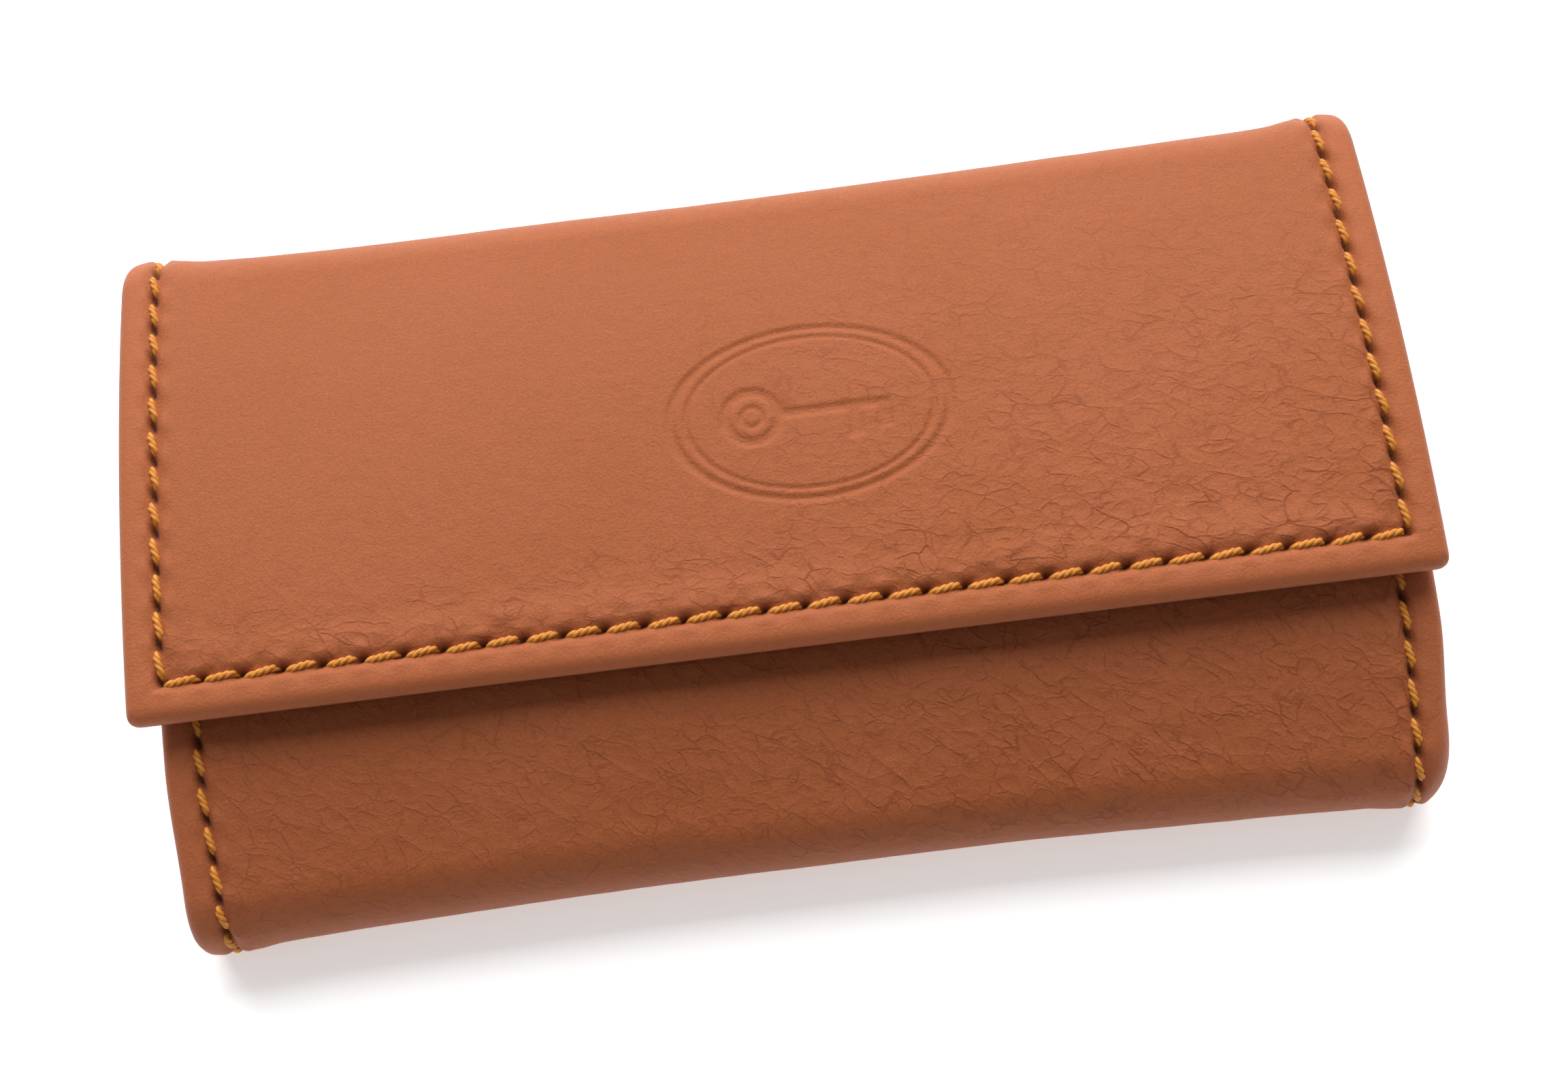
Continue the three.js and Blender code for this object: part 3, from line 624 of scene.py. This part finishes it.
def rows_between(low, high, inset, step, fine_step, reach, extra=()):
    """Stations along a span, with fine ones in the extra bands and by its end seam, and one by each cut."""
    bands = list(extra)
    if high[1]:
        bands.append((FLAP_SEAM - reach, FLAP_SEAM + reach))
    if low[1]:
        bands.append((FRONT_SEAM - reach, FRONT_SEAM + reach))
    start = low[0] + inset if low[1] else low[0]
    end = high[0] - inset if high[1] else high[0]
    rows = stations(start, end, step, bands, fine_step)
    beside = [] if low[1] else [start + 0.02]
    beside += [] if high[1] else [end - 0.02]
    return np.unique(np.concatenate([rows, beside]))


def leather_marks(x, t):
    """What the colour needs to know: how slack the hide is, for the painted shade in its creases; how deep
    it is pulled into a needle hole, for the painted shade there; and how much it is stretched over the
    padded edge."""
    away = seam_frame(x, t)[0]
    return np.stack([slackness(x, t), hole_depth(x, t), smooth((-away - 0.3) / 1.2)], -1)


def leather_piece(span):
    low, high = SPANS[span][:2]
    by_seam, margin = 1.2, 0.4
    bands_x, bands_t = seam_bands(by_seam), []
    if span == "flap":
        bands_x.append((EMBLEM_X - EMBLEM_HALF[0] - margin, EMBLEM_X + EMBLEM_HALF[0] + margin))
        bands_t.append((EMBLEM_T - EMBLEM_HALF[1] - margin, EMBLEM_T + EMBLEM_HALF[1] + margin))
    step = GRID_FOLD if span.endswith("fold") else GRID
    columns = stations(-HALF + ROLL, HALF - ROLL, step, bands_x)
    rows = rows_between(low, high, ROLL, step, GRID_SEAM, by_seam, bands_t)
    return slab(
        f"{span}_leather", low, high, HALF, EDGE, 0.0, EDGE, columns, rows,
        outer_relief, leather_marks, LIP, LEATHER)


# ---------------------------------------------------------------- materials


def new_material(name):
    material = bpy.data.materials.new(name)
    material.use_nodes = True
    return material, material.node_tree, material.node_tree.nodes["Principled BSDF"]


def texture(tree, kind, coordinates, **values):
    """A texture node, whose values go to its sockets or else to its settings."""
    node = tree.nodes.new(kind)
    tree.links.new(coordinates, node.inputs["Vector"])
    for key, value in values.items():
        if key in node.inputs:
            node.inputs[key].default_value = value
        else:
            setattr(node, key, value)
    return node


def noise(tree, place, scale, detail, roughness=0.5):
    node = texture(tree, "ShaderNodeTexNoise", place, Scale=scale, Detail=detail, Roughness=roughness)
    return node.outputs["Fac"]


def ramp(tree, source, stops, ease="LINEAR"):
    """A colour that runs through stops as source rises."""
    node = tree.nodes.new("ShaderNodeValToRGB")
    node.color_ramp.interpolation = ease
    tree.links.new(source, node.inputs["Fac"])
    elements = node.color_ramp.elements
    for index, (position, color) in enumerate(stops):
        element = elements[index] if index < 2 else elements.new(position)
        element.position = position
        element.color = (*color, 1)
    return node.outputs["Color"]


def mixed(tree, kind, factor, a, b):
    """Two colours blended. The factor and both colours may be values or sockets."""
    node = tree.nodes.new("ShaderNodeMix")
    node.data_type = "RGBA"
    node.blend_type = kind
    for socket, value in ((node.inputs[0], factor), (node.inputs[6], a), (node.inputs[7], b)):
        if isinstance(value, bpy.types.NodeSocket):
            tree.links.new(value, socket)
        else:
            socket.default_value = value
    return node.outputs[2]


def bumped(tree, height, strength, distance, normal=None):
    node = tree.nodes.new("ShaderNodeBump")
    node.inputs["Strength"].default_value = strength
    node.inputs["Distance"].default_value = distance
    tree.links.new(height, node.inputs["Height"])
    if normal is not None:
        tree.links.new(normal, node.inputs["Normal"])
    return node.outputs["Normal"]


def surface_map(tree):
    node = tree.nodes.new("ShaderNodeUVMap")
    node.uv_map = "UVMap"
    return node.outputs["UV"]


def painted_marks(tree):
    paint = tree.nodes.new("ShaderNodeAttribute")
    paint.attribute_name = "marks"
    parts = tree.nodes.new("ShaderNodeSeparateColor")
    tree.links.new(paint.outputs["Color"], parts.inputs["Color"])
    return parts.outputs["Red"], parts.outputs["Green"], parts.outputs["Blue"]


def worked_out(tree, operation, a, b):
    """Arithmetic on values or sockets. Products are kept between 0 and 1."""
    node = tree.nodes.new("ShaderNodeMath")
    node.operation = operation
    node.use_clamp = operation == "MULTIPLY"
    for socket, value in zip(node.inputs, (a, b)):
        if isinstance(value, bpy.types.NodeSocket):
            tree.links.new(value, socket)
        else:
            socket.default_value = value
    return node.outputs[0]


def slanted(tree, place, slant, stretch):
    """The map turned by slant and stretched along that direction."""
    turned = tree.nodes.new("ShaderNodeMapping")
    turned.vector_type = "TEXTURE"
    turned.inputs["Rotation"].default_value = (0, 0, slant)
    turned.inputs["Scale"].default_value = (stretch, 1, 1)
    tree.links.new(place, turned.inputs["Vector"])
    return turned.outputs["Vector"]


def cells(tree, place, scale, width):
    """Cells of slack hide: the thin lines between them, and their pillowed height."""
    node = texture(tree, "ShaderNodeTexVoronoi", place, feature="DISTANCE_TO_EDGE", Scale=scale)
    distance = node.outputs["Distance"]
    lines = ramp(tree, distance, [(0.0, (1, 1, 1)), (width, (0, 0, 0))], "EASE")
    pillows = ramp(tree, distance, [(0.0, (0, 0, 0)), (0.3, (1, 1, 1))], "EASE")
    return lines, pillows


# Creased hide has long cells and short ones: their stretch, size and line width, then the size of the
# patches that break the lines up, the noise values that these fade between, and how strongly they show, as
# painted shade and as bump.
CELLS = (
    {"stretch": 2.3, "scale": 4.9, "width": 0.055, "patch": 3.0, "fade": (0.44, 0.6), "strength": 1.0},
    {"stretch": 1.6, "scale": 8.0, "width": 0.085, "patch": 6.5, "fade": (0.42, 0.62), "strength": 0.7},
)


def crease_pattern(tree, place, slants):
    """The broken creases of slack hide, and the pillows between them."""
    drift = texture(tree, "ShaderNodeTexNoise", place, Scale=1.7, Detail=1.0)
    wiggle = texture(tree, "ShaderNodeTexNoise", place, Scale=7.0, Detail=2.0)
    bent = mixed(tree, "LINEAR_LIGHT", 0.16, place, drift.outputs["Color"])
    bent = mixed(tree, "LINEAR_LIGHT", 0.035, bent, wiggle.outputs["Color"])
    lines, pillows = [], []
    for slant, cell in zip(slants, CELLS):
        turned = slanted(tree, bent, slant, cell["stretch"])
        line, pillow = cells(tree, turned, cell["scale"], cell["width"])
        patches = noise(tree, place, cell["patch"], 3.0)
        low, high = cell["fade"]
        broken = ramp(tree, patches, [(low, (0, 0, 0)), (high, (cell["strength"],) * 3)])
        lines.append(mixed(tree, "MULTIPLY", 1.0, line, broken))
        pillows.append(pillow)
    return mixed(tree, "LIGHTEN", 1.0, *lines), mixed(tree, "MIX", 0.4, *pillows)


def uneven_dye(tree, place, base, ruddy, fleck, mottle):
    """Dye that drifts from base to ruddy, with the speckle and the mottling of the grain."""
    colour = ramp(tree, noise(tree, place, 0.45, 4.0, 0.6), [(0.35, base), (0.68, ruddy)])
    speckled = ramp(tree, fleck, [(0.3, (0.8, 0.8, 0.8)), (0.7, (1.16, 1.16, 1.16))])
    mottled = ramp(tree, mottle, [(0.3, (0.91, 0.9, 0.89)), (0.7, (1.05, 1.05, 1.05))])
    return mixed(tree, "MULTIPLY", 0.8, mixed(tree, "MULTIPLY", 0.8, colour, speckled), mottled)


CREASE_SHADE = (0.5, 0.36, 0.3, 1)  # painted shade in the creases
# painted shade in the needle holes
HOLE_SHADE = (0.035, 0.009, 0.005, 1)
FINE_GRAIN = 0.07 * MM
COARSE_GRAIN = 0.1 * MM


def leather_material(name, base, ruddy, roughness, slants, crease_shading, relief):
    """Full-grain leather: uneven dye, a fine grain, and creases where it is slack, with painted shade in the
    creases and needle holes. slants are the creases' angles on the map, the crease shading how dark the
    painted shade in them is, and relief how deep."""
    material, tree, shader = new_material(name)
    place = surface_map(tree)
    slack, hole, stretched = painted_marks(tree)
    lines, pillows = crease_pattern(tree, place, slants)
    creases = worked_out(tree, "MULTIPLY", lines, slack)
    fleck = noise(tree, place, 42.0, 3.0, 0.75)
    mottle = noise(tree, place, 9.0, 5.0, 0.65)
    colour = uneven_dye(tree, place, base, ruddy, fleck, mottle)
    paler = tuple(min(1.28 * value + 0.006, 1) for value in ruddy)
    colour = mixed(tree, "MIX", worked_out(tree, "MULTIPLY", stretched, 0.22), colour, (*paler, 1))
    # Painted shade: the colour is darkened in the creases.
    colour = mixed(tree, "MULTIPLY", worked_out(tree, "MULTIPLY", creases, crease_shading), colour, CREASE_SHADE)
    # Painted shade: near black in the needle holes.
    colour = mixed(tree, "MIX", hole, colour, HOLE_SHADE)
    tree.links.new(colour, shader.inputs["Base Color"])
    rough = ramp(tree, mottle, [(0.3, (roughness - 0.05,) * 3), (0.7, (roughness + 0.06,) * 3)])
    tree.links.new(rough, shader.inputs["Roughness"])
    raised = worked_out(tree, "MULTIPLY", pillows, slack)
    normal = bumped(tree, worked_out(tree, "SUBTRACT", raised, creases), 1.0, relief * MM)
    normal = bumped(tree, mottle, 0.6, COARSE_GRAIN, normal)
    normal = bumped(tree, fleck, 1.0, FINE_GRAIN, normal)
    tree.links.new(normal, shader.inputs["Normal"])
    shader.inputs["Specular IOR Level"].default_value = 0.16
    shader.inputs["Sheen Weight"].default_value = 0.1
    shader.inputs["Sheen Roughness"].default_value = 0.4
    return material


def thread_material():
    """Waxed three-ply thread: fine fibres, with painted shade where the plies meet."""
    material, tree, shader = new_material("thread")
    place = surface_map(tree)
    ply = painted_marks(tree)[0]
    fibre = noise(tree, place, 30.0, 3.0)
    tint = ramp(tree, fibre, [(0.3, (0.53, 0.19, 0.022)), (0.7, (0.76, 0.3, 0.045))])
    # Painted shade in the grooves where the plies meet.
    between = ramp(tree, ply, [(0.66, (0.45, 0.32, 0.22)), (0.85, (1, 1, 1))])
    tree.links.new(mixed(tree, "MULTIPLY", 1.0, tint, between), shader.inputs["Base Color"])
    tree.links.new(bumped(tree, fibre, 0.5, 0.04 * MM), shader.inputs["Normal"])
    shader.inputs["Roughness"].default_value = 0.55
    shader.inputs["Specular IOR Level"].default_value = 0.3
    return material


def metal_material(name, colour, roughness, scratch):
    """Plated metal with fine handling scratches."""
    material, tree, shader = new_material(name)
    place = tree.nodes.new("ShaderNodeTexCoord").outputs["Object"]
    scratches = noise(tree, place, 4000.0, 3.0, 0.6)
    rough = ramp(tree, scratches, [(0.35, (roughness,) * 3), (0.7, (roughness + scratch,) * 3)])
    tree.links.new(rough, shader.inputs["Roughness"])
    darker = tuple(0.95 * value for value in colour)
    tint = ramp(tree, scratches, [(0.3, darker), (0.7, colour)])
    tree.links.new(tint, shader.inputs["Base Color"])
    shader.inputs["Metallic"].default_value = 1.0
    return material


def board_material():
    """Pressed pulp board."""
    material, tree, shader = new_material("pressed_board")
    place = tree.nodes.new("ShaderNodeTexCoord").outputs["Object"]
    pulp = noise(tree, place, 1400.0, 5.0)
    tint = ramp(tree, pulp, [(0.3, (0.36, 0.30, 0.22)), (0.7, (0.52, 0.46, 0.36))])
    tree.links.new(tint, shader.inputs["Base Color"])
    tree.links.new(bumped(tree, pulp, 0.4, 0.1 * MM), shader.inputs["Normal"])
    shader.inputs["Roughness"].default_value = 0.9
    return material


DYES = (0.375, 0.104, 0.033), (0.395, 0.112, 0.041)
# The front panel is the same leather made darker as painted shade, for its tilt away from the light.
FRONT_SHADED_DYES = (0.338, 0.092, 0.029), (0.358, 0.1, 0.036)
LINING_DYES = (0.2, 0.075, 0.034), (0.24, 0.092, 0.045)
COGNAC = leather_material(
    "cognac_leather", *DYES, roughness=0.56, slants=(0.3, 0.1), crease_shading=0.6, relief=0.042)
COGNAC_FRONT_SHADED = leather_material(
    "cognac_leather_front_shaded", *FRONT_SHADED_DYES, roughness=0.56, slants=(0.8, 0.5), crease_shading=0.42, relief=0.05)
LINING = leather_material(
    "lining_leather", *LINING_DYES, roughness=0.7, slants=(0.3, 1.2), crease_shading=0.4, relief=0.042)
THREAD = thread_material()
NICKEL = metal_material("nickel", (0.27, 0.26, 0.235), roughness=0.46, scratch=0.08)
STEEL = metal_material("steel", (0.22, 0.22, 0.22), roughness=0.5, scratch=0.08)
BOARD = board_material()


def dress(piece, material):
    piece.data.materials.clear()
    piece.data.materials.append(material)


# ---------------------------------------------------------------- leather

LEATHER_NODES = {
    "flap": ["flap_outer_leather"],
    "rear_fold": ["rear_spine_outer_leather", "back_outer_leather"],
    "front_fold": ["front_spine_outer_leather"],
    "front_panel": ["front_panel_outer_leather"],
}
for span_name, nodes in LEATHER_NODES.items():
    leather = leather_piece(span_name)
    # The front panel takes the darker copy: painted shade for its tilt away from the light.
    dress(leather, COGNAC_FRONT_SHADED if span_name == "front_panel" else COGNAC)
    bend(leather, span_name)
    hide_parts(*nodes)

# ---------------------------------------------------------------- lining


def lining_relief(x, t):
    away = seam_frame(x, t)[0]
    groove = -0.12 * np.exp(-((away / 0.55) ** 2))
    slack = 0.08 * soft_noise(x, t, 11, 61) * smooth(away / 4)
    return groove - 0.3 * hole_depth(x, t) + slack


def lining_marks(x, t):
    # The green channel is the painted shade in the needle holes.
    return np.stack([0.35 + 0.25 * soft_noise(x, t, 15, 62), 0.8 * hole_depth(x, t), 0 * x], -1)


LINING_NODES = {
    "flap": ["flap_lining"],
    "rear_fold": ["rear_spine_lining", "back_lining"],
    "front_fold": ["front_spine_lining"],
    "front_panel": ["front_panel_lining"],
}


def lining_ends(span):
    low, high = SPANS[span][:2]
    low = (low[0] + LINING_INSET, True) if low[1] else low
    high = (high[0] - LINING_INSET, True) if high[1] else high
    return low, high


def lining_piece(span):
    low, high = lining_ends(span)
    radius, by_seam = LINING_THICKNESS / 2, 0.8
    inner = LINING_HALF - radius
    columns = stations(-inner, inner, GRID_LINING, seam_bands(by_seam), GRID_LINING_SEAM)
    rows = rows_between(low, high, radius, GRID_LINING, GRID_LINING_SEAM, by_seam)
    return slab(
        f"{span}_lining_leather", low, high, LINING_HALF, LINING_THICKNESS, LINING_FACE, LINING_TOP,
        columns, rows, lining_relief, lining_marks)


def punch(piece, node, clearance):
    """Cuts a round hole through a piece for a CAD part that stands in it."""
    low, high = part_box(node)
    centre = (low + high) / 2
    radius = (high.x - low.x) / 2 + clearance * MM
    bpy.ops.mesh.primitive_cylinder_add(vertices=64, radius=radius, depth=8 * MM, location=centre)
    cutter = bpy.context.object
    cutter.rotation_euler.x = SNAP_TILT
    cut = piece.modifiers.new("punched", "BOOLEAN")
    cut.operation = "DIFFERENCE"
    cut.solver = "EXACT"
    cut.object = cutter
    bpy.context.view_layer.update()
    shape = bpy.data.meshes.new_from_object(piece.evaluated_get(bpy.context.evaluated_depsgraph_get()))
    piece.modifiers.clear()
    piece.data = shape
    bpy.data.objects.remove(cutter)


for span_name, nodes in LINING_NODES.items():
    lining = lining_piece(span_name)
    if span_name == "flap":
        punch(lining, "snap_socket", 0.15)
    dress(lining, LINING)
    bend(lining, span_name)
    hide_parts(*nodes)

# ---------------------------------------------------------------- stitches

PLIES = 3
STITCH_SIDES = 14
DIVE = np.radians([0, 22, 44, 66])
TWIST_LENGTH = 1.9  # along the thread for one turn of its plies
SIDE_STITCH = {"gap": 1.3, "slant": 0.25, "uneven": (0.04, 0.09, 0.045)}
END_STITCH = {"gap": 0.95, "slant": 0.21, "uneven": (0.035, 0.08, 0.04)}
SOCKET_REACH = width_of("snap_socket") / 2 + END_PITCH / 2
OUTER_THREAD = {"base_depth": 0.26, "outward": 1, "rings": 20}
INNER_THREAD = {"base_depth": LINING_FACE - 0.1, "outward": -1, "rings": 8}


def stitch_path(length, rings):
    """The thread's centre line: up out of one needle hole, across and down into the next."""
    bend_along, bend_down, arch = 0.42, 0.6, 0.05
    across = np.linspace(bend_along, length - bend_along, rings)
    arched = arch * np.sin(math.pi * (across - across[0]) / (across[-1] - across[0]))
    up_s, up_h = bend_along * (1 - np.cos(DIVE)), -bend_down * (1 - np.sin(DIVE))
    return np.concatenate([up_s, across, length - up_s[::-1]]), np.concatenate([up_h, arched, up_h[::-1]])


def stitch(start, along, gap, slant, base_depth, outward, rings):
    """One three-ply stitch: its points' x, t and depth, their map, and how far out their ply stands."""
    pitch = math.hypot(*along)
    s, h = stitch_path(pitch - gap, rings)
    q = slant * (2 * s / s[-1] - 1)
    tangent = np.gradient(np.stack([s, q, h], -1), axis=0)
    tangent /= np.linalg.norm(tangent, axis=1)[:, None]
    lateral = np.array([0.0, 1.0, 0.0]) - tangent * tangent[:, 1:2]
    lateral /= np.linalg.norm(lateral, axis=1)[:, None]
    upward = np.cross(tangent, lateral)
    angle = np.linspace(0, 2 * math.pi, STITCH_SIDES, endpoint=False)
    turn = angle[None, :] + 2 * math.pi * s[:, None] / TWIST_LENGTH
    ply = 0.66 + 0.34 * np.abs(np.cos(PLIES / 2 * turn))
    radius = THREAD_RADIUS * ply[..., None]
    sideways = lateral[:, None, :] * np.cos(angle)[None, :, None]
    ring = sideways + upward[:, None, :] * np.sin(angle)[None, :, None]
    local = np.stack([s, q, h], -1)[:, None, :] + ring * radius
    ahead = np.array(along) / pitch
    left = np.array([ahead[1], -ahead[0]])
    flat = np.array(start) + ahead * (gap / 2 + local[..., :1]) + left * local[..., 1:2]
    depth = base_depth - outward * local[..., 2]
    uv = np.stack(np.broadcast_arrays(s[:, None] / MAP_UNIT, angle[None, :] / 25), -1)
    return flat[..., 0], flat[..., 1], depth, uv, ply


def stitch_faces(first, rings, flip):
    ring = first + np.arange(rings * STITCH_SIDES).reshape(rings, STITCH_SIDES)
    wrapped = np.concatenate([ring, ring[:, :1]], 1)
    faces = quads(wrapped, np.ones((rings - 1, STITCH_SIDES), bool))
    faces += [ring[0].tolist(), ring[-1].tolist()[::-1]]
    return [face[::-1] for face in faces] if flip else faces


def seam_lines(span):
    """Start, direction, gap and slant of each stitch of a span, in (x, t)."""
    low, high = SPANS[span][:2]
    lines = []
    uneven = np.random.default_rng(71)
    for side in (-1, 1):
        for k in range(SIDE_STITCHES):
            t = FRONT_SEAM + k * SIDE_PITCH
            astray, gap, slant = uneven.normal(0, SIDE_STITCH["uneven"])
            if low[0] < t + SIDE_PITCH / 2 <= high[0]:
                gap, slant = SIDE_STITCH["gap"] + gap, SIDE_STITCH["slant"] + slant
                lines.append(((side * SIDE_SEAM + astray, t), (0, SIDE_PITCH), gap, slant))
    end_rows = ([FLAP_SEAM] if high[1] else []) + ([FRONT_SEAM] if low[1] else [])
    for t in end_rows:
        for k in range(END_STITCHES):
            astray, gap, slant = uneven.normal(0, END_STITCH["uneven"])
            gap, slant = END_STITCH["gap"] + gap, END_STITCH["slant"] + slant
            lines.append(((-SIDE_SEAM + k * END_PITCH, t + astray), (END_PITCH, 0), gap, slant))
    return lines


def under_socket(start, along, *_):
    """Whether a stitch of the flap's end row lies where the press stud's socket stands on the seam."""
    return along[0] > 0 and abs(start[0] + along[0] / 2) <= SOCKET_REACH


def thread_piece(name, span, base_depth, outward, rings):
    """A span's stitches on one face: the outer one when outward is 1, the lining when it is -1."""
    points, maps, marks, faces = [], [], [], []
    ring_count = rings + 2 * len(DIVE)
    lines = seam_lines(span)
    if outward < 0 and span == "flap":
        lines = [line for line in lines if not under_socket(*line)]
    for number, (start, along, gap, slant) in enumerate(lines):
        x, t, depth, uv, ply = stitch(start, along, gap, slant, base_depth, outward, rings)
        points.append(on_strip(x, t, depth).reshape(-1, 3))
        maps.append(uv.reshape(-1, 2) + np.array([start[0] + start[1], start[1]]) / 7)
        marks.append(ply.reshape(-1, 1))
        faces += stitch_faces(number * ring_count * STITCH_SIDES, ring_count, outward > 0)
    piece = make_object(name, np.concatenate(points), faces, np.concatenate(maps), np.concatenate(marks))
    dress(piece, THREAD)
    bend(piece, span)
    return piece


THREAD_NODES = {
    "flap": ["flap_seam"],
    "rear_fold": ["rear_spine_seam_left", "rear_spine_seam_right", "back_seam_left", "back_seam_right"],
    "front_fold": ["front_spine_seam_left", "front_spine_seam_right"],
    "front_panel": ["front_panel_seam"],
}
for span_name, nodes in THREAD_NODES.items():
    outer_thread = thread_piece(f"{span_name}_stitches", span_name, **OUTER_THREAD)
    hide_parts(*nodes)
    thread_piece(f"{span_name}_inner_stitches", span_name, **INNER_THREAD)

# ---------------------------------------------------------------- metal parts and boards

ROUNDING = {
    "hook_body": 0.34, "hook_link": 0.2, "hook_gate_pin": 0.1, "hook_gate": 0.16, "hook_rail": 0.16,
}
OTHER_ROUNDING = 0.12


def finished(node_name, node, material, rounding):
    """The same part with its edges rounded over, as tumbling and plating leave them."""
    shape = bmesh.new()
    shape.from_mesh(node.data)
    bmesh.ops.remove_doubles(shape, verts=shape.verts, dist=0.001 * MM)
    bmesh.ops.dissolve_limit(
        shape, angle_limit=math.radians(1), verts=shape.verts, edges=shape.edges,
        use_dissolve_boundaries=False)
    mesh = bpy.data.meshes.new(f"{node_name}_finished")
    shape.to_mesh(mesh)
    shape.free()
    mesh.shade_smooth()
    piece = bpy.data.objects.new(f"{node_name}_finished", mesh)
    bpy.context.scene.collection.objects.link(piece)
    edges = piece.modifiers.new("rounded_edges", "BEVEL")
    edges.width = rounding * MM
    edges.segments = 4
    edges.limit_method = "ANGLE"
    edges.angle_limit = math.radians(38)
    level = piece.modifiers.new("even_shading", "WEIGHTED_NORMAL")
    level.keep_sharp = False
    dress(piece, material)
    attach(piece, body_of(node)[0])
    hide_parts(node_name)


for node_name, node in frame["nodes"].items():
    if node.hide_render:
        continue
    if "board" in node_name:
        node.data.materials.clear()
        node.data.materials.append(BOARD)
        continue
    kind = node_name.rstrip("_0123456789")
    sprung = kind in ("hinge_rod", "hook_gate", "hook_gate_pin")
    material, slot_name = (STEEL, "steel") if sprung else (NICKEL, "nickel")
    finished(node_name, node, material, ROUNDING.get(kind, OTHER_ROUNDING))

# ---------------------------------------------------------------- floor and light

# Lengths from here on are in metres.
FLOOR_SIZE = 40
FLOOR_DROP = 0.00004
FLOOR_GLOW = 0.42
WORLD_LIGHT = 0.3
WINDOW = {"place": (0.05, 1.3, 1.22), "aim": (0, 0, 0), "size": (2.5, 1.9), "power": 67}


def add_floor():
    bpy.ops.mesh.primitive_plane_add(size=FLOOR_SIZE, location=(0, 0, -FLOOR_DROP))
    floor = bpy.context.object
    floor.name = "floor"
    material, _, shader = new_material("white_paper")
    shader.inputs["Base Color"].default_value = (0.91, 0.93, 0.93, 1)
    shader.inputs["Roughness"].default_value = 0.9
    shader.inputs["Specular IOR Level"].default_value = 0.1
    shader.inputs["Emission Color"].default_value = (1, 1, 1, 1)
    shader.inputs["Emission Strength"].default_value = FLOOR_GLOW
    floor.data.materials.append(material)
    floor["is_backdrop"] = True


def add_area_light(name, place, aim, size, power):
    data = bpy.data.lights.new(name, "AREA")
    data.shape = "RECTANGLE"
    data.size, data.size_y = size
    data.energy = power
    light = bpy.data.objects.new(name, data)
    light.location = place
    light.rotation_euler = (Vector(aim) - Vector(place)).to_track_quat("-Z", "Y").to_euler()
    bpy.context.scene.collection.objects.link(light)


def add_world(strength):
    world = bpy.data.worlds.new("studio")
    world.use_nodes = True
    background = world.node_tree.nodes["Background"]
    background.inputs["Color"].default_value = (1, 1, 1, 1)
    background.inputs["Strength"].default_value = strength
    bpy.context.scene.world = world


add_floor()
add_world(WORLD_LIGHT)
add_area_light("window", **WINDOW)
bpy.context.scene.view_settings.view_transform = "Standard"

# ---------------------------------------------------------------- finish

boxes = {
    "cad": [list(cad_low), list(cad_high)],
    "visual": [list(corner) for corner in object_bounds()],
}
